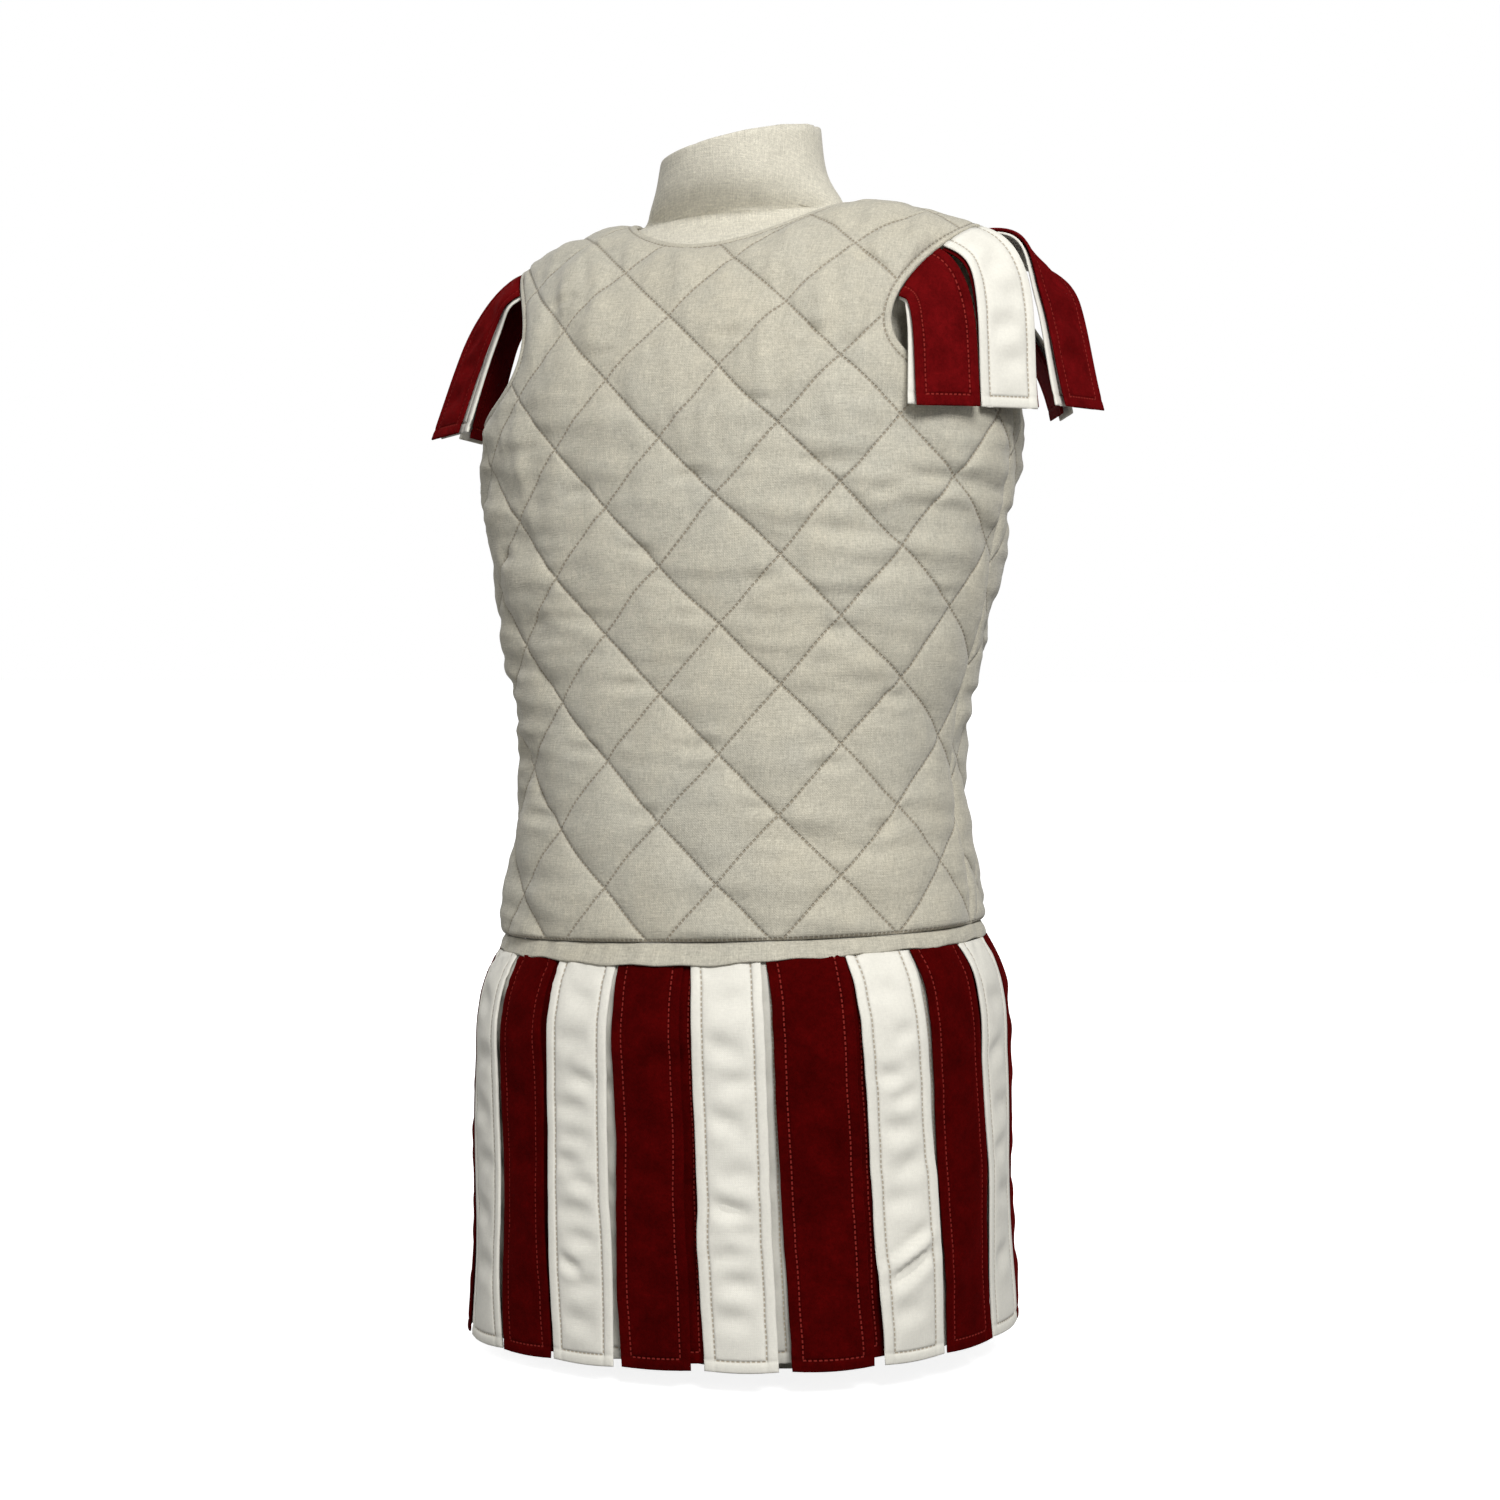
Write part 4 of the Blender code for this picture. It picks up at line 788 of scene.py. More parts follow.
def puffed(distance, fall):
    return 1 - np.exp(-np.maximum(distance, 0.0) / fall)


def rounded(distance, radius):
    """Rises from 0 at an edge to 1 as a quarter circle does."""
    return np.sqrt(np.clip(1 - (1 - np.clip(distance / radius, 0.0, 1.0)) ** 2, 0.0, 1.0))


HILLS = (64, 256)           # the random table repeats past this many hills


def uneven(s, h, over_s, over_h, seed):
    """Smooth random hills between -1 and 1, each about as long and as high as given."""
    rng = np.random.default_rng(seed)
    hills = rng.uniform(-1.0, 1.0, HILLS)
    x = np.asarray(s) / over_s + 32.5 + 0.21 * np.asarray(h) / over_h
    y = np.asarray(h) / over_h + 20.5 + 0.13 * np.asarray(s) / over_s
    i, j = np.floor(x).astype(int), np.floor(y).astype(int)
    u, v = x - i, y - j
    u, v = eased(u), eased(v)
    i, j = i % HILLS[0], j % HILLS[1]
    next_i, next_j = (i + 1) % HILLS[0], (j + 1) % HILLS[1]
    near = hills[i, j] * (1 - v) + hills[i, next_j] * v
    far = hills[next_i, j] * (1 - v) + hills[next_i, next_j] * v
    return near * (1 - u) + far * u


RUMPLE_TURNS = (0.290, 0.400)   # over the waist seam: wrinkles are level below the first, mostly upright above


def rumpled(s, h, seed):
    """The padding's own unevenness: level wrinkles low down, and more and more upright ones towards the neck."""
    level = 0.65 * uneven(s, h, 0.046, 0.0110, seed) + 0.35 * uneven(s, h, 0.030, 0.0064, seed + 1)
    upright = 0.65 * uneven(s, h, 0.0125, 0.0400, seed + 2) + 0.35 * uneven(s, h, 0.0078, 0.0260, seed + 4)
    patches = uneven(s, h, 0.060, 0.050, seed + 3)
    high = ramp(h, RUMPLE_TURNS[0], RUMPLE_TURNS[1] - RUMPLE_TURNS[0])
    level_share = (1 - 0.75 * high) * (0.75 + 0.5 * patches)
    upright_share = (0.25 + 0.60 * high) * (0.75 - 0.5 * patches)
    return level * level_share + upright * upright_share


# The relief of a padded panel, in metres. A fall is the distance over which something fades.
RUMPLE_SEEDS = {"front": 5, "back": 29}
SIDE_SLACK = (0.075, 0.045)     # the sides begin this far from the panel's middle, over this width
PLUMP_TO = (0.120, 0.300)       # the padding is plumper and smoother below the first rise, and slacker above
PLUMPER = 0.20
SECOND_LINES = (0.50, 0.35)     # how much the second lines draw in: in the middle, and more at the sides
PAD_SHARES = (0.66, 0.34)       # a cell is partly evenly thick and partly a dome
NECK_HOLD = 0.005               # the padding grows from nothing over these falls, by the edge and the seams
SIDE_HOLD = 0.0045
SHOULDER_HOLD = 0.017
PUCKER_FALLS = (0.009, 0.0014)  # away from a stitch line, and right beside it
LINE_REST = (0.35, 0.004)       # of the wrinkles, this share crosses a stitch line, and they grow back in a fall
LOOSE = (0.60, 0.40, 0.35)      # the wrinkles' height low down, what is added high up, and at the sides
PANEL_CREASE_GAIN = 2.4
EDGE_PUCKER_GAIN = 0.8
EDGE_PUCKER_FALLS = (0.006, 0.002)
EDGE_ROLL = 0.42                # the turned edge is round over this share of its band
SEAM_GROOVE = (0.0009, 0.0016)  # depth and width
WAIST_ROUND = 0.0090
WAIST_PLUMP = (0.0008, 0.010)   # height and fall of the padding that bulges over the waist seam
WAIST_PLUMP_HOLD = 0.006
WAIST_CRIMP = (0.0004, 0.008)
WAIST_CRIMP_LENGTHS = (0.0125, 0.0191, 0.0310)


def quilted_heights(panel, flat, edges, sizes):
    """How far the outer face of a padded panel stands out at each flat place."""
    s, h = flat[:, 0], flat[:, 1]
    counts = lattice(s, h)
    spacings = [1 / math.hypot(over_s, over_h) for over_s, over_h, _ in lattice_lines()]
    away = [np.abs(count - np.round(count)) * spacing for count, spacing in zip(counts, spacings)]
    to_side = ramp(np.abs(s), *SIDE_SLACK)
    up = ramp(h, PLUMP_TO[0], PLUMP_TO[1] - PLUMP_TO[0])
    bound = np.minimum(edges["neck"], edges["armhole"])
    sewn = np.minimum(edges["side"], edges["shoulder"])
    held = (puffed(bound - sizes.edge_band, NECK_HOLD) * puffed(edges["side"], SIDE_HOLD)
            * puffed(edges["shoulder"], SHOULDER_HOLD))

    drawn = (1.0, SECOND_LINES[0] + SECOND_LINES[1] * eased(to_side))
    padding = 1.0
    pinch = 0.0
    for distance, share in zip(away, drawn):
        padding = padding * (1 - share * np.exp(-distance / sizes.puff_fall))
        pinch = pinch + share * np.exp(-distance / sizes.pinch_fall)
    crown = np.abs(np.sin(math.pi * counts[0]) * np.sin(math.pi * counts[1]))
    puff = sizes.puff * (1 + PLUMPER - PLUMPER * up)
    height = (puff * (PAD_SHARES[0] * padding + PAD_SHARES[1] * crown) - sizes.pinch * (pinch - 1)) * held

    for k in (0, 1):
        beside = np.exp(-away[k] / PUCKER_FALLS[0]) * puffed(away[k], PUCKER_FALLS[1])
        along = counts[1 - k] * spacings[1 - k]
        height += sizes.pucker * drawn[k] * beside * ripple(along, np.round(counts[k]) + 3 * k) * held
    off_lines = np.minimum(1.0, LINE_REST[0] + puffed(np.minimum(away[0], away[1]), LINE_REST[1]))
    loose = (LOOSE[0] + LOOSE[1] * up) * (1 + LOOSE[2] * to_side) * off_lines * held
    height += sizes.rumple * loose * rumpled(s, h, RUMPLE_SEEDS[panel])
    height += PANEL_CREASE_GAIN * crease_height(s, h, PANEL_CREASES[panel]) * held

    edge_fall, edge_start = EDGE_PUCKER_FALLS
    edge_ripple = np.exp(-np.abs(bound - sizes.edge_band) / edge_fall) * puffed(bound, edge_start)
    height += EDGE_PUCKER_GAIN * sizes.pucker * edge_ripple * ripple(edges["run"], 5)
    roll = -WALL / 2 + (WALL / 2 + sizes.edge_bead) * rounded(bound, sizes.edge_band * EDGE_ROLL)
    roll -= sizes.edge_bead * eased(ramp(bound / sizes.edge_band, EDGE_ROLL, 1 - EDGE_ROLL))
    height = np.where(bound < sizes.edge_band, roll, height)
    height -= SEAM_GROOVE[0] * np.exp(-((sewn / SEAM_GROOVE[1]) ** 2))

    waist = edges["waist"]
    plump = WAIST_PLUMP[0] * np.exp(-waist / WAIST_PLUMP[1]) * puffed(sewn, WAIST_PLUMP_HOLD)
    crimp = WAIST_CRIMP[0] * np.exp(-waist / WAIST_CRIMP[1]) * ripple(s, 11, WAIST_CRIMP_LENGTHS)
    return (height + plump + crimp + WALL / 2) * rounded(waist, WAIST_ROUND) - WALL / 2


def ribbon_sheet(columns, rows):
    """A flat grid whose vertices stand at whole numbers of columns and rows, doubled into a wall."""
    mesh = bmesh.new()
    bmesh.ops.create_grid(mesh, x_segments=columns - 1, y_segments=rows - 1, size=0.5)
    for vertex in mesh.verts:
        vertex.co.x = round((vertex.co.x + 0.5) * (columns - 1))
        vertex.co.y = round((vertex.co.y + 0.5) * (rows - 1))
    add_wall(mesh)
    return mesh


def grid_order(mesh):
    """Each vertex's side, row and column in a ribbon sheet."""
    places = np.rint(flat_places(mesh)).astype(int)
    return places[:, 2], places[:, 1], places[:, 0]


def stitched_steps(width, inset, bulk):
    """Places across a strip: close together at its edges and at its topstitching."""
    edge = [0.0, 0.0004, 0.0011, 0.0022, 0.0038, 0.0055, inset - 0.0010, inset, inset + 0.0012, inset + 0.0030]
    middle = list(np.linspace(inset + 0.0030, width - inset - 0.0030, bulk + 2)[1:-1])
    return np.array(edge + middle + [width - place for place in edge[::-1]])


def hem_steps(length, inset, bulk):
    """Places down a strip: even, then close together at its hem."""
    end = [inset + 0.0030, inset + 0.0012, inset, inset - 0.0010, 0.0050, 0.0034, 0.0020, 0.0010, 0.0004, 0.0]
    even = np.linspace(GAP, length - inset - 0.0030, bulk + 1)[:-1]
    return np.array(list(even) + [length - place for place in end])


class StripGrid:
    """A strip's flat grid: places across and down it, and distances to its long edges and its hem."""

    def __init__(self, steps, drops, width, length):
        self.steps, self.drops, self.width, self.length = steps, drops, width, length
        self.down = drops[:, None] + 0 * steps[None, :]
        self.across = (steps - width / 2)[None, :] + 0 * self.down
        self.edge = np.minimum(steps, width - steps)[None, :] + 0 * self.down
        self.hem = length - self.down

    def sew(self, name, node, cloth, place, points, scene, under=0.0, **sheet):
        """Makes the strip from its outer and inner points, and ties it to the model."""
        mesh = ribbon_sheet(len(self.steps), len(self.drops))
        face, row, column = grid_order(mesh)
        flat = np.stack((self.across, self.down), axis=-1)
        # The under mark is 1 on the inner row, which the white material paints darker as painted shade from the
        # outer row.
        marks = {"edge": self.edge[row, column], "hem": self.hem[row, column], "under": np.full(len(face), under)}
        piece = finish_mesh(
            name, mesh, strip_material(cloth, place, scene), points[face, row, column], flat[row, column], marks)
        declare(piece, node, cloth, flat=(self.width, self.length), **sheet)


STRIP_PINCH = (0.00055, 0.0011)     # depth and width of the groove that the topstitching pulls
STRIP_SWELL = (0.0004, 0.006)       # height of the cloth inside it, and over what width it is reached
STRIP_ROUND = (0.0011, 0.0009)      # rounding of the outer and the inner edge
STRIP_CREASE_GAIN = 1.35
STRIP_CREASE_EDGE = 0.35            # this share of a crease runs on past the topstitching


def strip_relief(grid, bead, inset, wall, creases):
    """Outer and inner faces of a double, topstitched strip, measured out from its outer face."""
    near = np.minimum(grid.edge, grid.hem)
    depth, width = STRIP_PINCH
    pinch = depth * (np.exp(-(((grid.edge - inset) / width) ** 2)) + np.exp(-(((grid.hem - inset) / width) ** 2)))
    roll = bead * np.sin(math.pi * np.clip(near / inset, 0.0, 1.0))
    inside = ramp(near, inset, STRIP_SWELL[1])
    swell = STRIP_SWELL[0] * inside
    outer = -wall / 2 + (wall / 2 + roll + swell - pinch) * rounded(near, STRIP_ROUND[0])
    spread = STRIP_CREASE_EDGE + (1 - STRIP_CREASE_EDGE) * inside
    outer += STRIP_CREASE_GAIN * crease_height(grid.across, grid.down, creases) * spread
    inner = -wall / 2 - (wall / 2) * rounded(near, STRIP_ROUND[1]) + pinch * 0.5
    return outer, inner


# ---------------------------------------------------------------- node trees

def put(tree, kind, inputs=(), output=0, **settings):
    """Adds one node, sets or links its inputs, and gives back one of its outputs."""
    node = tree.nodes.new(kind)
    for name, value in settings.items():
        setattr(node, name, value)
    for key, value in dict(inputs).items():
        if isinstance(value, bpy.types.NodeSocket):
            tree.links.new(value, node.inputs[key])
        else:
            node.inputs[key].default_value = value
    return node.outputs[output]


def calc(tree, operation, a, b=0.0, c=0.0, clamp=False):
    return put(tree, "ShaderNodeMath", {0: a, 1: b, 2: c}, operation=operation, use_clamp=clamp)


def times(tree, place, factors):
    return put(tree, "ShaderNodeVectorMath", {0: place, 1: factors}, operation="MULTIPLY")


def noise(tree, place, scale=1.0, detail=2.0, roughness=0.5):
    values = {"Vector": place, "Scale": scale, "Detail": detail, "Roughness": roughness}
    return put(tree, "ShaderNodeTexNoise", values)


def stepped(tree, value, low, high, out_low=0.0, out_high=1.0):
    """A smooth change from one value to another as the input goes from low to high."""
    values = {"Value": value, "From Min": low, "From Max": high, "To Min": out_low, "To Max": out_high}
    return put(tree, "ShaderNodeMapRange", values, interpolation_type="SMOOTHSTEP")


def mixed(tree, factor, a, b):
    def colour(value):
        return value if isinstance(value, bpy.types.NodeSocket) else (*value, 1.0)

    return put(tree, "ShaderNodeMix", {0: factor, 6: colour(a), 7: colour(b)}, output=2, data_type="RGBA")


def scaled(tree, colour, factor):
    return put(tree, "ShaderNodeVectorMath", {0: colour, "Scale": factor}, operation="SCALE")


def new_group(name, takes, gives):
    """An empty node group with its named sockets: the tree, its inputs and a way to set its outputs."""
    tree = bpy.data.node_groups.new(name, "ShaderNodeTree")
    kinds = {"float": "NodeSocketFloat", "vector": "NodeSocketVector"}
    for socket, kind, default in takes:
        made = tree.interface.new_socket(socket, in_out="INPUT", socket_type=kinds[kind])
        if default is not None:
            made.default_value = default
    for socket in gives:
        tree.interface.new_socket(socket, in_out="OUTPUT", socket_type="NodeSocketFloat")
    source = tree.nodes.new("NodeGroupInput")
    sink = tree.nodes.new("NodeGroupOutput")
    return tree, source.outputs, lambda socket, value: tree.links.new(value, sink.inputs[socket])


def weave_group():
    """Uneven crossing threads with slubs, for every woven cloth."""
    tree, takes, give = new_group(
        "Weave", (("Place", "vector", None), ("Thread", "float", 0.0008)), ("Height", "Shade", "Slub"))
    turns = calc(tree, "DIVIDE", 1.0, takes["Thread"])
    place = scaled(tree, takes["Place"], turns)
    warp = noise(tree, times(tree, place, (1.0, 0.07, 1.0)), detail=2.0, roughness=0.6)
    weft = noise(tree, times(tree, place, (0.06, 1.0, 1.0)), detail=2.0, roughness=0.6)
    fine = noise(tree, place, scale=0.9, detail=1.0)
    parts = put(tree, "ShaderNodeSeparateXYZ", {0: place})
    rise = parts.node.outputs[1]
    checks = calc(
        tree, "MULTIPLY", calc(tree, "SINE", calc(tree, "MULTIPLY", parts, math.pi)),
        calc(tree, "SINE", calc(tree, "MULTIPLY", rise, math.pi)))
    threads = calc(tree, "ADD", warp, weft)
    height = calc(tree, "MULTIPLY_ADD", checks, 0.16, calc(tree, "MULTIPLY_ADD", fine, 0.4, threads))
    give("Height", height)
    give("Shade", calc(tree, "MULTIPLY", calc(tree, "ADD", threads, fine), 0.3333))
    give("Slub", stepped(tree, calc(tree, "MAXIMUM", warp, weft), 0.60, 0.80))
    return tree


def stitch_group():
    """A row of stitches: thread where it shows, and the dent that it pulls."""
    tree, takes, give = new_group(
        "Stitch Row",
        (("Beside", "float", 0.0), ("Along", "float", 0.0), ("Stitch", "float", 0.0033), ("Width", "float", 0.0007)),
        ("Thread", "Dent"))
    turn = calc(tree, "FRACT", calc(tree, "DIVIDE", takes["Along"], takes["Stitch"]))
    middle = calc(tree, "ABSOLUTE", calc(tree, "SUBTRACT", turn, 0.5))
    dash = stepped(tree, middle, 0.38, 0.26)
    beside = calc(tree, "DIVIDE", calc(tree, "ABSOLUTE", takes["Beside"]), takes["Width"])
    line = stepped(tree, beside, 1.0, 0.4)
    give("Thread", calc(tree, "MULTIPLY", dash, line))
    give("Dent", stepped(tree, beside, 2.4, 0.0))
    return tree


def tone_group():
    """Slow changes of tone over a whole piece: handling, dust and uneven dye."""
    tree, takes, give = new_group(
        "Cloth Tone", (("Place", "vector", None),), ("Broad", "Patchy", "Mottle", "Specks"))
    broad = noise(tree, takes["Place"], scale=7.0, detail=2.0)
    give("Broad", stepped(tree, broad, 0.32, 0.68))
    give("Patchy", noise(tree, takes["Place"], scale=55.0, detail=4.0, roughness=0.6))
    give("Mottle", noise(tree, takes["Place"], scale=460.0, detail=4.0, roughness=0.75))
    give("Specks", stepped(tree, noise(tree, takes["Place"], scale=420.0, detail=2.0), 0.66, 0.78))
    return tree


def nap_group():
    """Brushed nap: short soft fibres that catch the light in patches."""
    tree, takes, give = new_group("Nap", (("Place", "vector", None),), ("Height", "Shade"))
    fibres = noise(tree, times(tree, takes["Place"], (1400.0, 700.0, 1000.0)), detail=3.0, roughness=0.7)
    patches = noise(tree, takes["Place"], scale=130.0, detail=3.0, roughness=0.6)
    give("Height", calc(tree, "MULTIPLY_ADD", patches, 1.2, fibres))
    give("Shade", calc(tree, "MULTIPLY_ADD", patches, 0.5, calc(tree, "MULTIPLY", fibres, 0.5)))
    return tree


GROUPS = {"Weave": weave_group, "Stitch Row": stitch_group, "Cloth Tone": tone_group, "Nap": nap_group}


def use_group(tree, name, inputs):
    """Places a shared group, which is built the first time that it is used, and gives back its outputs."""
    node = tree.nodes.new("ShaderNodeGroup")
    node.node_tree = bpy.data.node_groups.get(name) or GROUPS[name]()
    for key, value in inputs.items():
        if isinstance(value, bpy.types.NodeSocket):
            tree.links.new(value, node.inputs[key])
        else:
            node.inputs[key].default_value = value
    return node.outputs


def start_material(name):
    """A new material: its tree, its shader, its flat and its object coordinates."""
    material = bpy.data.materials.new(name)
    material.use_nodes = True
    tree = material.node_tree
    shader = tree.nodes["Principled BSDF"]
    flat = put(tree, "ShaderNodeUVMap", uv_map=CUT)
    place = put(tree, "ShaderNodeTexCoord", output="Object")
    return material, tree, shader, flat, place


def set_shader(shader, **values):
    for name, value in values.items():
        shader.inputs[name.replace("_", " ")].default_value = value


def finish_shader(tree, shader, colour, rough, bumps, **values):
    """Links a colour, a roughness and a chain of bumps, and sets the shader's plain sockets.

    The roughness is a mask with its gain and base, and each bump is a height with its own depth in metres.
    """
    tree.links.new(colour, shader.inputs["Base Color"])
    tree.links.new(calc(tree, "MULTIPLY_ADD", *rough, clamp=True), shader.inputs["Roughness"])
    normal = None
    for height, depth in bumps:
        inputs = {"Height": height, "Distance": depth, "Strength": 1.0}
        if normal is not None:
            inputs["Normal"] = normal
        normal = put(tree, "ShaderNodeBump", inputs)
    tree.links.new(normal, shader.inputs["Normal"])
    set_shader(shader, **values)


def mark(tree, name):
    return put(tree, "ShaderNodeAttribute", output="Fac", attribute_name=name, attribute_type="GEOMETRY")


def lit(tree, *layers):
    """The product of some masks, each with its gain and base."""
    light = None
    for layer in layers:
        shade = calc(tree, "MULTIPLY_ADD", *layer)
        light = shade if light is None else calc(tree, "MULTIPLY", light, shade)
    return light


def linen_shades(tree, flat, place, colour, warm, thread):
    """The linen's colour and its weave's outputs."""
    weave = use_group(tree, "Weave", {"Place": flat, "Thread": thread})
    tone = use_group(tree, "Cloth Tone", {"Place": place})
    warmth = calc(tree, "MULTIPLY_ADD", tone["Patchy"], 0.9, calc(tree, "MULTIPLY_ADD", tone["Broad"], 0.5, -0.2))
    light = lit(tree, (weave["Shade"], 1.40, 0.30), (tone["Patchy"], 0.20, 0.90), (tone["Mottle"], 0.75, 0.625))
    light = calc(tree, "MULTIPLY_ADD", weave["Slub"], 0.06, light)
    light = calc(tree, "MULTIPLY_ADD", tone["Specks"], -0.10, light)
    return scaled(tree, mixed(tree, warmth, colour, warm), light), weave


LINEN_ROUGH = (-0.10, 0.97)
QUILTING_ROW = 0.0010           # how wide each kind of stitching shows
EDGE_ROW = 0.0008
TOPSTITCH_ROW = 0.00070
WAIST_ROW_INSET = 0.0012
TOPSTITCH = 0.0034              # length of one stitch with its space
ROW_ENDS = 0.0004               # the two rows of topstitching meet this far past their corner


def stitch_rows(tree, stitch, rows):
    """Thread and dents of some rows, each given as its beside, along and width, and where it shows."""
    thread = dent = 0.0
    for beside, along, width, shown in rows:
        row = use_group(
            tree, "Stitch Row", {"Beside": beside, "Along": along, "Stitch": stitch, "Width": width})
        thread = calc(tree, "MAXIMUM", thread, calc(tree, "MULTIPLY", row["Thread"], shown))
        dent = calc(tree, "MAXIMUM", dent, calc(tree, "MULTIPLY", row["Dent"], shown))
    return thread, dent


def quilted_linen(sizes, colours):
    """Padded linen with its quilting stitches and the topstitching of its turned edges."""
    material, tree, shader, flat, place = start_material("quilted linen")
    colour, weave = linen_shades(tree, flat, place, colours.linen, colours.linen_warm, sizes.thread)
    bound = mark(tree, "bound")
    run = mark(tree, "run")
    inside = stepped(tree, bound, sizes.edge_band - 0.0005, sizes.edge_band + 0.0005)
    counts = []
    for over_s, over_h, at_start in lattice_lines():
        dot = put(tree, "ShaderNodeVectorMath", {0: flat, 1: (over_s, over_h, 0.0)}, output="Value",
                  operation="DOT_PRODUCT")
        counts.append((calc(tree, "ADD", dot, at_start), 1 / math.hypot(over_s, over_h)))
    rows = [
        (calc(tree, "SUBTRACT", bound, sizes.edge_band), run, EDGE_ROW, 1.0),
        (calc(tree, "SUBTRACT", mark(tree, "waist"), WAIST_ROW_INSET), run, QUILTING_ROW, 1.0),
    ]
    for (count, spacing), (other, other_spacing) in (counts, counts[::-1]):
        beside = calc(tree, "MULTIPLY", calc(tree, "SUBTRACT", count, calc(tree, "ROUND", count)), spacing)
        rows.append((beside, calc(tree, "MULTIPLY", other, other_spacing), QUILTING_ROW, inside))
    thread, dent = stitch_rows(tree, sizes.stitch, rows)
    # Painted shade: the linen darkens towards the thread colour in the dents beside every row of stitching, and the
    # thread's dashes hold painted shade in their holes.
    shaded = mixed(tree, calc(tree, "MULTIPLY", dent, 0.09), colour, colours.dark_thread_and_dent_shade)
    finish_shader(
        tree, shader, mixed(tree, calc(tree, "MULTIPLY", thread, 0.55), shaded, colours.dark_thread_and_dent_shade),
        (weave["Shade"], *LINEN_ROUGH), ((weave["Height"], 0.00030), (dent, -0.0003), (thread, -0.0004)),
        Sheen_Weight=0.18, Sheen_Roughness=0.5, Specular_IOR_Level=0.25)
    return material


def plain_linen(name, colour, warm, thread):
    """Linen with no quilting: the waistband and the dress form's cover."""
    material, tree, shader, flat, place = start_material(name)
    shade, weave = linen_shades(tree, flat, place, colour, warm, thread)
    finish_shader(
        tree, shader, shade, (weave["Shade"], *LINEN_ROUGH), ((weave["Height"], 0.00020),),
        Sheen_Weight=0.15, Sheen_Roughness=0.5, Specular_IOR_Level=0.25)
    return material


def strip_stitches(tree, flat, inset):
    """Thread and dents of a strip's topstitching, from its edge and hem marks."""
    edge = mark(tree, "edge")
    hem = mark(tree, "hem")
    across = put(tree, "ShaderNodeSeparateXYZ", {0: flat})
    down = across.node.outputs[1]
    return stitch_rows(tree, TOPSTITCH, (
        (calc(tree, "SUBTRACT", edge, inset), down, TOPSTITCH_ROW,
         calc(tree, "GREATER_THAN", hem, inset - ROW_ENDS)),
        (calc(tree, "SUBTRACT", hem, inset), across, TOPSTITCH_ROW,
         calc(tree, "GREATER_THAN", edge, inset - ROW_ENDS)),
    ))


def brushed_red(name, colour, sizes, colours):
    """Soft brushed wool in dark red, topstitched in a lighter thread."""
    material, tree, shader, flat, place = start_material(name)
    nap = use_group(tree, "Nap", {"Place": flat})
    tone = use_group(tree, "Cloth Tone", {"Place": place})
    thread, dent = strip_stitches(tree, flat, sizes.topstitch_inset)
    light = lit(tree, (nap["Shade"], 1.3, 0.35), (tone["Patchy"], 1.1, 0.45), (tone["Mottle"], 1.0, 0.50))
    # Painted shade: the red is up to 30 percent darker in the dents that the topstitching pulls.
    base = scaled(tree, colour, calc(tree, "MULTIPLY_ADD", dent, -0.30, light))
    finish_shader(
        tree, shader, mixed(tree, calc(tree, "MULTIPLY", thread, 0.75), base, colours.red_thread),
        (nap["Shade"], -0.08, 0.98), ((nap["Height"], 0.00035), (dent, -0.0005), (thread, 0.0003)),
        Sheen_Weight=0.10, Sheen_Roughness=0.45, Sheen_Tint=(0.9, 0.03, 0.03, 1.0), Specular_IOR_Level=0.01)
    return material


def soft_white(name, sizes, colours):
    """Off-white twill, soft and a little uneven, topstitched in tan, and painted darker on the inner strips as their
    shade.
    """
    material, tree, shader, flat, place = start_material(name)
    weave = use_group(tree, "Weave", {"Place": flat, "Thread": 0.0006})
    tone = use_group(tree, "Cloth Tone", {"Place": place})
    thread, dent = strip_stitches(tree, flat, sizes.topstitch_inset)
    # Painted shade: strips marked under, in the inner row, are 24 percent darker, as if in the shade of the outer
    # row.
    light = lit(tree, (weave["Shade"], 0.22, 0.89), (tone["Patchy"], 0.20, 0.90), (tone["Mottle"], 0.22, 0.89),
                (mark(tree, "under"), -0.24, 1.0))
    # Painted shade: the white is up to 12 percent darker in the dents that the topstitching pulls.
    base = scaled(tree, colours.white, calc(tree, "MULTIPLY_ADD", dent, -0.12, light))
    finish_shader(
        tree, shader, mixed(tree, calc(tree, "MULTIPLY", thread, 0.75), base, colours.tan_thread),
        (weave["Shade"], -0.10, 0.92), ((weave["Height"], 0.00012), (dent, -0.0004), (thread, -0.0002)),
        Sheen_Weight=0.15, Sheen_Roughness=0.5, Specular_IOR_Level=0.3)
    return material


def material_once(name, make):
    return bpy.data.materials.get(name) or make()


def strip_material(cloth, place, scene):
    """The finish of a red or white strip on the skirt or the shoulders."""
    sizes, colours = scene.gambeson_sizes, scene.gambeson_colours
    if cloth == "white":
        return material_once("soft white", lambda: soft_white("soft white", sizes, colours))
    name = f"brushed red, {place}"
    colour = colours.skirt_red if place == "skirt" else colours.shoulder_red
    return material_once(name, lambda: brushed_red(name, colour, sizes, colours))


def declare(piece, node, slot, **sheet):
    """Ties a piece to the model's body and hides the solid that it stands for; its finish and its cut are not used.
    """
    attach(piece, BODY)
    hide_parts(node)


# ---------------------------------------------------------------- pieces

WANDER_EDGE = (0.004, 0.020)    # the sewn lines begin to stray this far from an edge, over this distance
WANDER_SEEDS = (71, 83)
INNER_ROUND = 0.0012
WAIST_NEAR = 0.01               # the stitching is counted along the waist this close to it


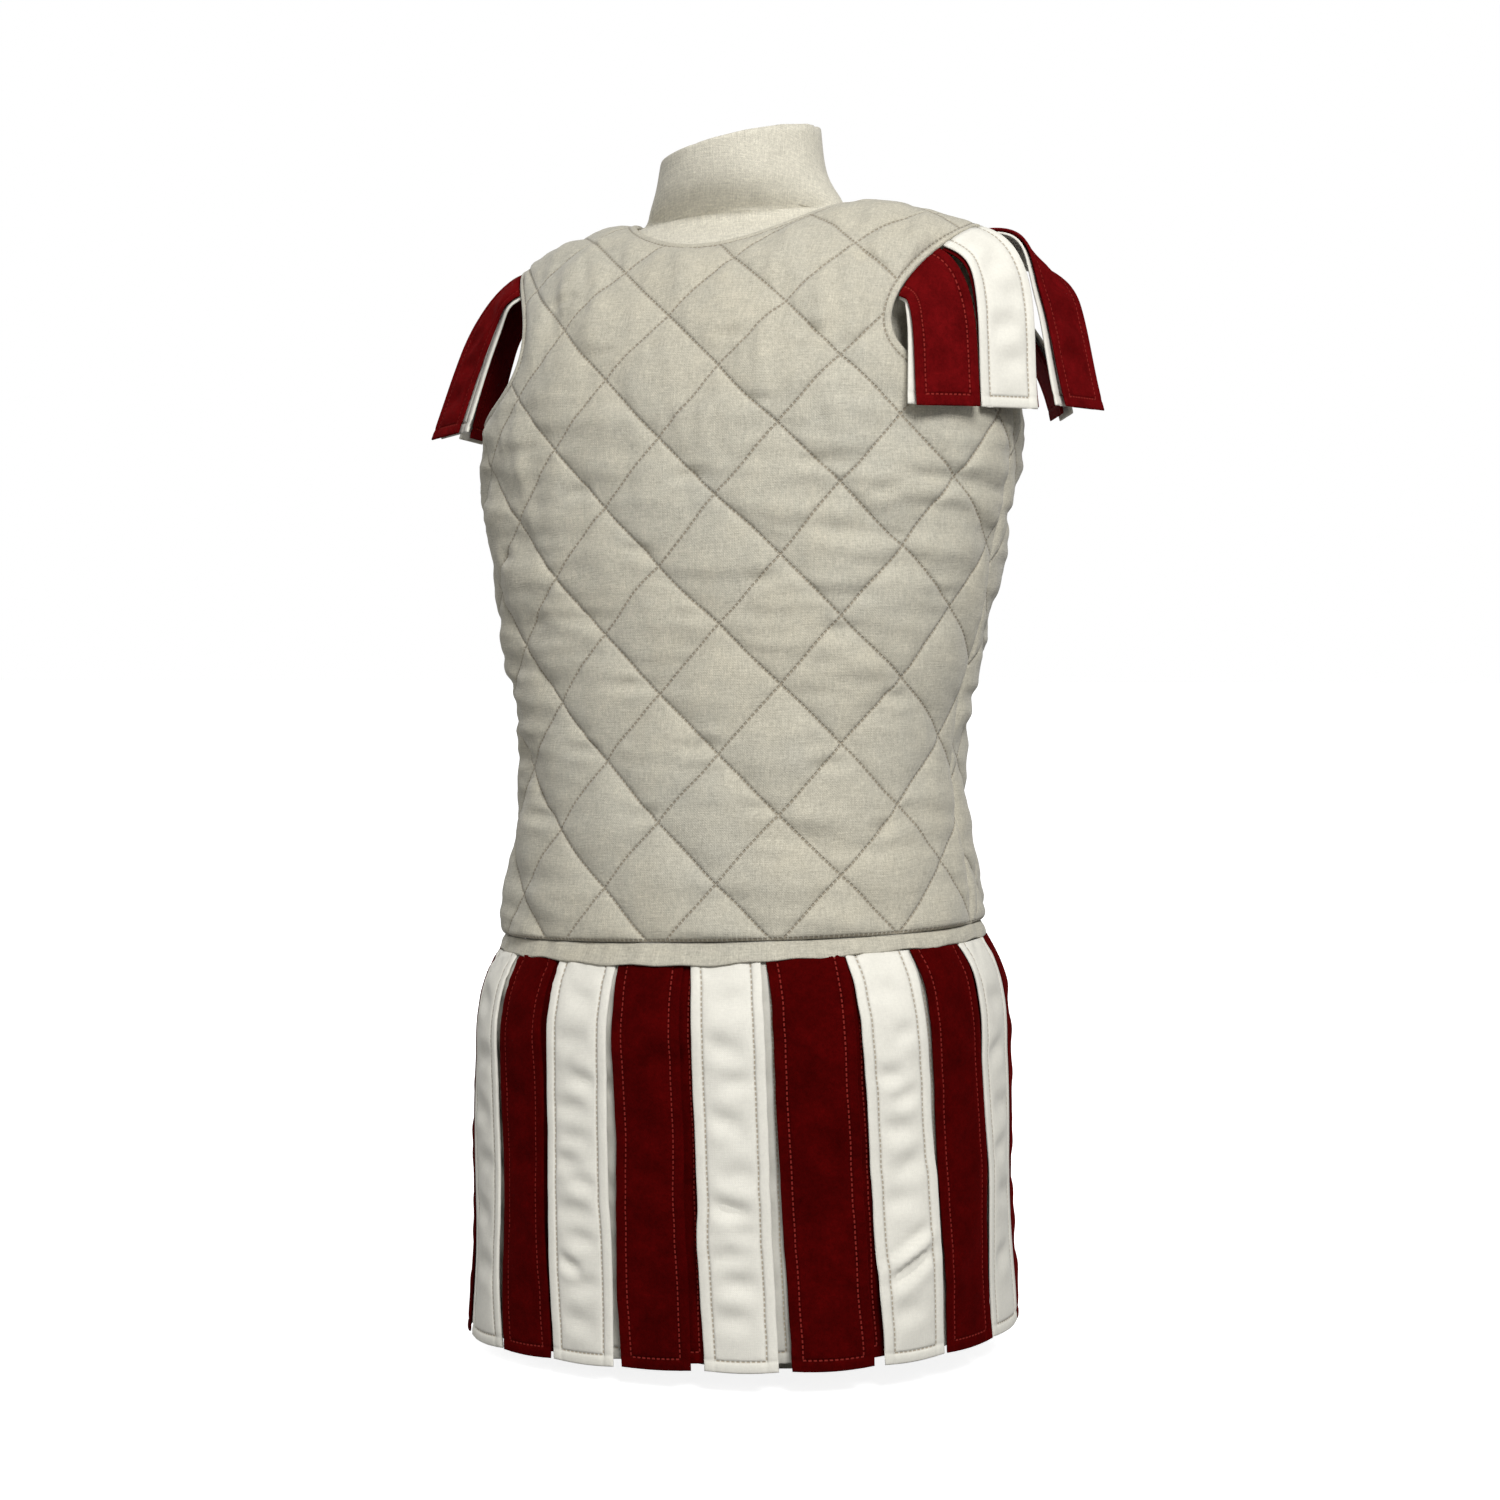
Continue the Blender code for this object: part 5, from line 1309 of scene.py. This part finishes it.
def make_panel(panel, context):
    """The quilted front or back: its flat cut is meshed, raised and laid on the worn form."""
    sizes, colours = context.scene.gambeson_sizes, context.scene.gambeson_colours
    stretches = cut_stretches(panel)
    half = np.concatenate([line[:-1] for line in stretches.values()] + [stretches["neck"][-1:]])
    outline = np.concatenate((half, (half[1:-1] * (-1, 1))[::-1]))
    mesh = quilt_sheet(outline, sizes.mesh_step * (1))
    add_wall(mesh)
    places = flat_places(mesh)
    flat = places[:, :2]
    s, h = flat[:, 0], flat[:, 1]
    outside = places[:, 2] < 0.5
    folded = np.abs(flat * (1, 0)) + flat * (0, 1)
    edges = {}
    runs = {}
    for name, line in stretches.items():
        edges[name], runs[name] = line_distance(folded, line)
    edges["run"] = np.where(edges["neck"] < edges["armhole"], runs["neck"], runs["armhole"])
    heights = quilted_heights(panel, flat, edges, sizes)
    nearest = np.minimum.reduce([edges[name] for name in stretches])
    inner = -WALL / 2 - (WALL / 2) * rounded(nearest, INNER_ROUND)
    free = sizes.wander * ramp(nearest, *WANDER_EDGE) ** 2
    sideways = free * uneven(s, h, 0.031, 0.035, WANDER_SEEDS[0])
    upwards = free * uneven(s, h, 0.029, 0.033, WANDER_SEEDS[1])
    points = WornTable(panel).place(s + sideways, h + upwards, np.where(outside, heights, inner))
    material = material_once("quilted linen", lambda: quilted_linen(sizes, colours))
    marks = {
        "bound": np.minimum(edges["neck"], edges["armhole"]),
        "waist": edges["waist"],
        "run": np.where(edges["waist"] < WAIST_NEAR, s, edges["run"]),
    }
    piece = finish_mesh(f"quilted_{panel}", mesh, material, points, flat, marks)
    x, y = outline[:, 0], outline[:, 1]
    area = 0.5 * abs(float(np.dot(x, np.roll(y, -1)) - np.dot(y, np.roll(x, -1))))
    size = outline.max(0) - outline.min(0)
    declare(piece, f"{panel}_panel", "linen", flat=(float(size[0]), float(size[1])), held="draped", area=area,
            rests_on=["dress_form_cover"])


class GAMBESON_OT_panels(bpy.types.Operator):
    """Makes the quilted front and back panels"""

    bl_idname = "gambeson.panels"
    bl_label = "Quilted panels"

    def execute(self, context):
        for panel in ("front", "back"):
            make_panel(panel, context)
        return {"FINISHED"}


class GAMBESON_OT_waistband(bpy.types.Operator):
    """Makes the crimped linen band that covers the seam between the panels and the skirt"""

    bl_idname = "gambeson.waistband"
    bl_label = "Waistband"

    def execute(self, context):
        sizes, colours = context.scene.gambeson_sizes, context.scene.gambeson_colours
        columns = 481
        rows = 13
        mesh = ribbon_sheet(columns, rows)
        ends = [face for face in mesh.faces
                if len({round(vertex.co.x) for vertex in face.verts}) == 1
                and round(face.verts[0].co.x) in (0, columns - 1)]
        bmesh.ops.delete(mesh, geom=ends, context="FACES")
        side, row, column = grid_order(mesh)
        turn = column / (columns - 1)
        down = row / (rows - 1)
        girth = 2 * body_ring(0.0)[2][-1]
        along = np.where(turn < 1, turn, 0.0) * girth
        upper = ring_point(body_ring(0.0), along, 0.0, SEAM_HEIGHT - GAP)
        lower, sagged = (
            ring_point(ring, along / girth * 2 * ring[2][-1], 0.0, SKIRT_TOP - drop)
            for drop, ring in ((0.0, skirt_ring(0.0)), (BAND_SAG, skirt_ring(BAND_SAG))))
        outward = upper * (1, 1, 0)
        outward /= np.linalg.norm(outward, axis=1)[:, None]
        share = 2 * math.pi * along / girth
        crimp = (uneven(along, down, 0.0120, 1.6, BAND_SEEDS[0])
                 + 0.8 * uneven(along, down, 0.0062, 1.2, BAND_SEEDS[1]))
        crimp = crimp * ramp(np.minimum(turn, 1 - turn) * girth, 0.0, BAND_CLOSE)
        middle = np.sin(math.pi * down)
        sag = np.where(upper[:, 1] < 0, np.exp(-((upper[:, 0] / BAND_SAG_REACH) ** 2)), 0.0)
        lower += (sagged - lower) * sag[:, None]
        lift = BAND_FACE + BAND_CRIMP * crimp * (0.35 + 0.65 * middle) + BAND_BULGE * middle
        lift += BAND_SAG_OUT * down**2 * sag
        edge = np.minimum(down, 1 - down) * BAND_DEPTH
        outer = lift - BAND_WALL / 2 + BAND_WALL / 2 * rounded(edge, BAND_ROUND)
        inner = lift - BAND_WALL / 2 - BAND_WALL / 2 * rounded(edge, BAND_ROUND)
        points = upper + (lower - upper) * down[:, None] + outward * np.where(side == 0, outer, inner)[:, None]
        points[:, 2] += BAND_WAVE * down**2 * np.sin(19 * share + 0.7) * np.sin(7 * share)
        flat = np.stack((turn * girth, (1 - down) * BAND_DEPTH), axis=1)
        material = material_once(
            "band linen", lambda: plain_linen("band linen", colours.linen, colours.linen_warm, sizes.thread))
        piece = finish_mesh("waistband_cloth", mesh, material, points, flat)
        declare(piece, "waistband", "linen", flat=(float(girth), BAND_DEPTH), held="stretched",
                rests_on=["dress_form_cover"])
        return {"FINISHED"}


def strip_creases(index):
    """A strip's own creases; a strip with none listed takes those of a listed one of its colour."""
    listed = sorted({row[0] for row in STRIP_CREASES})
    turned = 1
    if index not in listed:
        same = [number for number in listed if number % 2 == index % 2]
        turned = -1 if index % 4 < 2 else 1
        index = same[(index // 2) % len(same)]
    return [(turned * x, y, turned * angle, length, width, depth)
            for number, x, y, angle, length, width, depth in STRIP_CREASES if number == index]


STRIP_STRAY = (0.0009, 0.0003)      # how far a strip's sides wander, in long and in short waves
STRIP_STRAY_SEEDS = (101, 131)
GATHERS = (0.0008, 0.016)           # height and fall of the gathers under the waistband
GATHER_LENGTHS = (0.0135, 0.0205, 0.0320)
HEM_SAG = 0.0010
RED_BEAD = {"skirt": 0.7, "shoulder": 0.8}      # the red strips' edges roll by this share of the white ones'


def make_skirt_strip(index, row, context):
    """One hanging strip of the skirt, as the model has it, with its sewing and creases."""
    sizes = context.scene.gambeson_sizes
    outside = row == "outer"
    cloth = "white" if index % 2 else "red"
    length = STRIP_DROP - (0.0 if outside else INNER_SHORTER)
    set_as = dict(zip(STRIP_COLUMNS, STRIP_SET[index]))
    width = set_as["width"]
    inset = sizes.topstitch_inset
    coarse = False
    steps = stitched_steps(width, inset, 4 if coarse else (11 if outside else 7))
    drops = hem_steps(length, inset, 24 if coarse else (76 if outside else 48))
    grid = StripGrid(steps, drops, width, length)
    share = (drops / length)[:, None]
    swing_share = np.clip((drops - GAP) / (length - GAP), 0.0, 1.0)
    girths = np.array([2 * skirt_ring(drop)[2][-1] for drop in drops])
    middles = girths * index / STRIPS + set_as["start"] + set_as["swing"] * swing_share
    middles += 0.0 if outside else INNER_SHIFT
    widths = width * (STRIP_TOP_SHARE + (1 - STRIP_TOP_SHARE) * np.minimum(1.0, drops / STRIP_WIDE_BY))
    place = grid.across / width + 0.5
    stray = STRIP_STRAY[0] * uneven(grid.down, place, 0.034, 1.4, STRIP_STRAY_SEEDS[0] + index)
    stray += STRIP_STRAY[1] * uneven(grid.down, place, 0.012, 0.9, STRIP_STRAY_SEEDS[1] + index)
    along = middles[:, None] + widths[:, None] * (place - 0.5) + stray
    swing = np.sin(2 * math.pi * grid.down / WAVE_LENGTH + WAVE_TURN * index + WAVE_SKEW * place)
    if outside:
        out = OUTER_FACE + WAVE * share * (1 + swing)
        out += GATHERS[0] * np.exp(-grid.down / GATHERS[1]) * ripple(along, index, GATHER_LENGTHS)
    else:
        clear = INNER_CLEAR * np.minimum(1.0, grid.down / INNER_CLEAR_DROP)
        out = INNER_FACE - clear - WAVE * share * 0.5 * (1 + swing)
    bead = sizes.strip_bead * (1.0 if cloth == "white" else RED_BEAD["skirt"])
    faces = strip_relief(grid, bead, inset, STRIP_WALL, strip_creases(index))
    sag = HEM_SAG * np.sin(math.pi * place) * share ** 3
    points = np.array([
        [ring_point(skirt_ring(drop), along[i], out[i] + face[i], SKIRT_TOP - drop - sag[i])
         for i, drop in enumerate(drops)] for face in faces])
    # The inner row is marked as under, for its painted shade.
    grid.sew(f"skirt_strip_{row}_{index:02d}", f"skirt_{row}_{index:02d}", cloth, "skirt", points, context.scene,
             under=0.0 if outside else 1.0, held="hung", rests_on=["waistband_cloth"])


class GAMBESON_OT_skirt(bpy.types.Operator):
    """Makes the two rows of loose strips that hang from the waistband"""

    bl_idname = "gambeson.skirt"
    bl_label = "Skirt strips"

    def execute(self, context):
        for index in range(STRIPS):
            for row in ("outer", "inner"):
                make_skirt_strip(index, row, context)
        return {"FINISHED"}


def armhole_edge():
    """The armhole's edge from its front foot over the tip to its back foot: points, normals, arc length."""
    points, normals = [], []
    for panel in ("front", "back"):
        worn = WornTable(panel)
        places = np.array([at_height(panel, x, z) for x, z in armhole_curve(panel, 48)])
        places[-1, 1] -= GAP / 2
        side = 1.0 if panel == "front" else -1.0
        s, h = side * places[:, 0], places[:, 1]
        found = worn.place(s, h, np.zeros(len(s)))
        facing = worn.place(s, h, np.full(len(s), 1.0)) - found
        order = slice(None) if panel == "front" else slice(None, None, -1)
        points.append(found[order])
        normals.append(facing[order])
    points = np.concatenate(points)
    arc = np.concatenate(([0.0], np.cumsum(np.linalg.norm(np.diff(points, axis=0), axis=1))))
    return points, np.concatenate(normals), arc - arc[len(arc) // 2]


def on_line(line, arc, along):
    return np.stack([np.interp(along, arc, line[:, k]) for k in range(3)], axis=-1)


def unit(vectors):
    return vectors / np.linalg.norm(vectors, axis=-1)[..., None]


def make_wing_strip(row, index, side, lining, armhole, context):
    """One shoulder strip: sewn along the armhole, over the arm's place and down to its hem."""
    sizes = context.scene.gambeson_sizes
    place = dict(zip(WING_COLUMNS, row))
    edge_line, normal_line, arc = armhole
    middle = place["round"]
    edge = on_line(edge_line, arc, middle)
    normal = unit(on_line(normal_line, arc, middle))
    along = unit(on_line(edge_line, arc, middle + 2 * ASIDE) - on_line(edge_line, arc, middle - 2 * ASIDE))
    outward = unit(np.cross(along, normal))
    hem_point = np.array((place["hem_x"], place["hem_y"], SEAM_HEIGHT + place["hem_rise"]))
    facing = math.radians(place["facing"])
    away = np.array((math.cos(facing), -math.sin(facing), 0.0))
    level = np.array((-away[1], away[0], 0.0))
    start = edge - normal * (WALL / 2 - WING_WALL * WING_SEAT_DEPTH) + outward * WING_SEAT
    fall = start[2] - hem_point[2]
    above_hem = hem_point + (UP - away * place["flare"]) * fall * WING_FALL_SHARE
    over_arm = start + outward * fall * place["reach"] + away * WING_START_OUT + UP * place["rise"]
    handles = (start, over_arm, above_hem, hem_point)

    fine = np.linspace(0.0, WING_LINING_LENGTH if lining else 1.0, 400)[:, None]
    run = np.concatenate(([0.0], np.cumsum(np.linalg.norm(np.diff(bezier(handles, fine), axis=0), axis=1))))
    length = float(run[-1])
    inset = sizes.topstitch_inset
    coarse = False
    steps = stitched_steps(WING_WIDTH, inset, 4 if coarse else 9)
    downs = hem_steps(length, inset, 14 if coarse else 44)
    downs[0] = 0.0
    grid = StripGrid(steps, downs, WING_WIDTH, length)
    t = np.interp(downs, run, fine[:, 0])[:, None]
    slopes = (-3 * (1 - t) ** 2, 3 * (1 - t) * (1 - 3 * t), 3 * t * (2 - 3 * t), 3 * t * t)
    centre = bezier(handles, t)
    heading = unit(sum(slope * handle for slope, handle in zip(slopes, handles)))
    turn = eased(np.minimum(1.0, t / WING_TURNED_BY))
    across_way = unit(along * (1 - turn) + level * turn)
    outside = unit(np.cross(heading, across_way))
    hold = np.maximum(0.0, 1 - t / WING_HELD_TO) ** 2
    if lining:
        centre = centre - outside * (WING_WALL + WING_LINING_GAP + WING_LINING_DEPTH * t)
        centre = centre + across_way * WING_LINING_SHIFT[place["cloth"]] * t * t
    share = steps / WING_WIDTH - 0.5
    reach = (place["seat"] + (WING_WIDTH - place["seat"]) * turn) * share[None, :]
    bend = on_line(edge_line, arc, middle + reach) - edge - reach[..., None] * along
    sheet = centre[:, None] + reach[..., None] * across_way[:, None] + bend * hold[..., None]

    turned = -1 if (index + (side == "right")) % 2 else 1
    creases = [(turned * x, share_down * length, turned * angle, size, width, depth)
               for x, share_down, angle, size, width, depth in WING_CREASES]
    bead = sizes.strip_bead * (1.0 if place["cloth"] == "white" else RED_BEAD["shoulder"])
    outer, inner = strip_relief(grid, bead, inset, WING_WALL, creases)
    if lining:
        outer = np.minimum(outer, WING_LINING_TOP)
    lift = np.stack((outer, inner)) + WING_WALL / 2
    points = sheet[None] + lift[..., None] * outside[None, :, None]
    if side == "right":
        points = points * (-1, 1, 1)
    other = {"red": "white", "white": "red"}
    cloth = other[place["cloth"]] if lining else place["cloth"]
    node = f"wing_{side}_under_{index}" if lining else f"wing_{side}_{index}"
    grid.sew(node.replace("wing", "shoulder_strip"), node, cloth, "shoulder", points, context.scene, held="draped",
             rests_on=["quilted_front", "quilted_back"])


class GAMBESON_OT_shoulders(bpy.types.Operator):
    """Makes the strips that hang round both shoulders, with the second layer under them"""

    bl_idname = "gambeson.shoulders"
    bl_label = "Shoulder strips"

    def execute(self, context):
        armhole = armhole_edge()
        for side, rows in WINGS.items():
            for index, row in enumerate(rows):
                make_wing_strip(row, index, side, False, armhole, context)
                if row[WING_COLUMNS.index("lined")]:
                    make_wing_strip(row, index, side, True, armhole, context)
        return {"FINISHED"}


FORM_HOLLOW_ANGLE = math.radians(30)    # a hollow edge sharper than this is smoothed out
FORM_RIM_ANGLE = math.radians(50)       # an outward edge sharper than this stays fairly sharp
FORM_RIM_CREASE = 0.85
FORM_EASINGS = 2


class GAMBESON_OT_dress_form(bpy.types.Operator):
    """Covers the dress form in plain linen"""

    bl_idname = "gambeson.dress_form"
    bl_label = "Dress form"

    def execute(self, context):
        sizes, colours = context.scene.gambeson_sizes, context.scene.gambeson_colours
        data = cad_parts["dress_form"].data.copy()
        data.name = "dress_form_cover"
        data.materials.clear()
        mesh = bmesh.new()
        mesh.from_mesh(data)
        bmesh.ops.remove_doubles(mesh, verts=mesh.verts[:], dist=1e-5)
        bmesh.ops.join_triangles(
            mesh, faces=mesh.faces[:], angle_face_threshold=math.radians(25),
            angle_shape_threshold=math.radians(70), cmp_seam=False, cmp_sharp=False, cmp_uvs=False,
            cmp_vcols=False, cmp_materials=False)
        bmesh.ops.recalc_face_normals(mesh, faces=mesh.faces[:])
        crease = mesh.edges.layers.float.new("crease_edge")
        hollows = set()
        for edge in mesh.edges:
            if len(edge.link_faces) == 2 and edge.calc_face_angle() > FORM_HOLLOW_ANGLE:
                if not edge.is_convex:
                    hollows.update(edge.verts)
                elif edge.calc_face_angle() > FORM_RIM_ANGLE:
                    edge[crease] = FORM_RIM_CREASE
        for _ in range(FORM_EASINGS):
            bmesh.ops.smooth_vert(
                mesh, verts=sorted(hollows, key=lambda vertex: vertex.index), factor=0.5, use_axis_x=True,
                use_axis_y=True, use_axis_z=True)
        mesh.to_mesh(data)
        mesh.free()
        order = np.empty(len(data.loops), dtype=np.int32)
        data.loops.foreach_get("vertex_index", order)
        points = np.empty(len(data.vertices) * 3, dtype=np.float32)
        data.vertices.foreach_get("co", points)
        points = points.reshape(-1, 3)
        flat = np.stack((points[:, 0] + 0.6 * points[:, 1], points[:, 2] + 0.3 * points[:, 1]), axis=1)
        layer = data.uv_layers.new(name=CUT)
        layer.uv.foreach_set("vector", flat[order].astype(np.float32).ravel())
        data.shade_smooth()
        material = material_once("form linen", lambda: plain_linen(
            "form linen", colours.form_linen, colours.form_linen, sizes.thread))
        data.materials.append(material)
        piece = bpy.data.objects.new("dress_form_cover", data)
        context.scene.collection.objects.link(piece)
        rounding = piece.modifiers.new("smooth form", "SUBSURF")
        rounding.levels = rounding.render_levels = 2
        declare(piece, "dress_form", "form_linen")
        return {"FINISHED"}


LIGHTS = (                  # name, size, turn from the camera in degrees, height, distance
    ("key", 0.90, 14.0, 1.95, 2.3),
    ("fill", 2.2, -50.0, 1.1, 2.6),
    ("back", 2.0, 195.0, 0.8, 2.6),
)
LIGHTS_AIM = Vector((0.0, 0.0, 0.48))
CAMERA_AIM = (math.radians(0.19), math.radians(1.73))       # right of the figure's axis, and down
PAPER_SHADE = 0.90


class GAMBESON_OT_stage(bpy.types.Operator):
    """Sets the pale floor, the soft studio light and the camera"""

    bl_idname = "gambeson.stage"
    bl_label = "Studio stage"

    def execute(self, context):
        scene = context.scene
        stage = scene.gambeson_stage
        mesh = bmesh.new()
        bmesh.ops.create_grid(mesh, x_segments=8, y_segments=8, size=80.0)
        data = bpy.data.meshes.new("studio_floor")
        mesh.to_mesh(data)
        mesh.free()
        paper, tree, shader, _, place = start_material("pale paper")
        grain = noise(tree, place, scale=3.0, detail=3.0)
        seen = put(tree, "ShaderNodeLightPath", output="Is Camera Ray")
        tone = calc(tree, "MULTIPLY_ADD", seen, PAPER_SHADE - stage.floor_shade, stage.floor_shade)
        tree.links.new(scaled(tree, (1.0, 1.0, 1.0), calc(tree, "MULTIPLY", tone, calc(
            tree, "MULTIPLY_ADD", grain, 0.02, 0.99))), shader.inputs["Base Color"])
        tree.links.new(calc(tree, "MULTIPLY", seen, stage.floor_glow), shader.inputs["Emission Strength"])
        set_shader(shader, Roughness=0.9, Specular_IOR_Level=0.1, Emission_Color=(1.0, 1.0, 1.0, 1.0))
        data.materials.append(paper)
        floor = bpy.data.objects.new("studio_floor", data)
        scene.collection.objects.link(floor)

        for name, size, turn, height, distance in LIGHTS:
            self.add_light(scene, name, getattr(stage, f"{name}_power"), size,
                           stage.azimuth + math.radians(turn), height, distance)
        world = bpy.data.worlds.new("white studio")
        world.use_nodes = True
        background = world.node_tree.nodes["Background"]
        background.inputs["Color"].default_value = (1.0, 1.0, 1.0, 1.0)
        seen = put(world.node_tree, "ShaderNodeLightPath", output="Is Camera Ray")
        world.node_tree.links.new(calc(world.node_tree, "MULTIPLY_ADD", seen, 1.0 - stage.surround, stage.surround),
                                  background.inputs["Strength"])
        scene.world = world
        scene.view_settings.view_transform = "Standard"

        optics = bpy.data.cameras.new("camera")
        optics.sensor_width = 36.0
        optics.lens = stage.lens
        camera = bpy.data.objects.new("camera", optics)
        side = math.sin(stage.azimuth)
        front = math.cos(stage.azimuth)
        camera.location = (side * stage.distance, -front * stage.distance, stage.eye_height)
        aim_right, aim_down = CAMERA_AIM
        camera.rotation_euler = Euler((math.pi / 2 - aim_down, 0.0, stage.azimuth - aim_right))
        scene.collection.objects.link(camera)
        scene.camera = camera
        return {"FINISHED"}

    def add_light(self, scene, name, power, size, turn, height, distance):
        """A square soft light that faces the figure's chest."""
        lamp = bpy.data.lights.new(name, "AREA")
        lamp.energy = power
        lamp.size = size
        light = bpy.data.objects.new(name, lamp)
        light.location = (math.sin(turn) * distance, -math.cos(turn) * distance, height)
        towards = LIGHTS_AIM - light.location
        light.rotation_euler = towards.to_track_quat("-Z", "Y").to_euler()
        scene.collection.objects.link(light)


class GAMBESON_PT_panel(bpy.types.Panel):
    """Lists the pieces and their sizes and colours"""

    bl_idname = "GAMBESON_PT_panel"
    bl_label = "Gambeson"
    bl_space_type = "VIEW_3D"
    bl_region_type = "UI"
    bl_category = "Gambeson"

    def draw(self, context):
        layout = self.layout
        for operator in OPERATORS:
            layout.operator(operator.bl_idname)
        for group, props in SETTINGS.items():
            box = layout.box()
            for name in props.__annotations__:
                box.prop(getattr(context.scene, group), name)


OPERATORS = (
    GAMBESON_OT_dress_form,
    GAMBESON_OT_panels,
    GAMBESON_OT_waistband,
    GAMBESON_OT_skirt,
    GAMBESON_OT_shoulders,
    GAMBESON_OT_stage,
)
SETTINGS = {
    "gambeson_sizes": GambesonSizes,
    "gambeson_colours": GambesonColours,
    "gambeson_stage": GambesonStage,
}


def register():
    for settings in SETTINGS.values():
        bpy.utils.register_class(settings)
    for operator in OPERATORS:
        bpy.utils.register_class(operator)
    bpy.utils.register_class(GAMBESON_PT_panel)
    for name, settings in SETTINGS.items():
        setattr(bpy.types.Scene, name, PointerProperty(type=settings))


def unregister():
    for name in SETTINGS:
        delattr(bpy.types.Scene, name)
    bpy.utils.unregister_class(GAMBESON_PT_panel)
    for operator in reversed(OPERATORS):
        bpy.utils.unregister_class(operator)
    for settings in reversed(SETTINGS.values()):
        bpy.utils.unregister_class(settings)


def main():
    register()
    bpy.ops.gambeson.dress_form()
    bpy.ops.gambeson.panels()
    bpy.ops.gambeson.waistband()
    bpy.ops.gambeson.skirt()
    bpy.ops.gambeson.shoulders()
    bpy.ops.gambeson.stage()


if __name__ == "__main__":
    main()
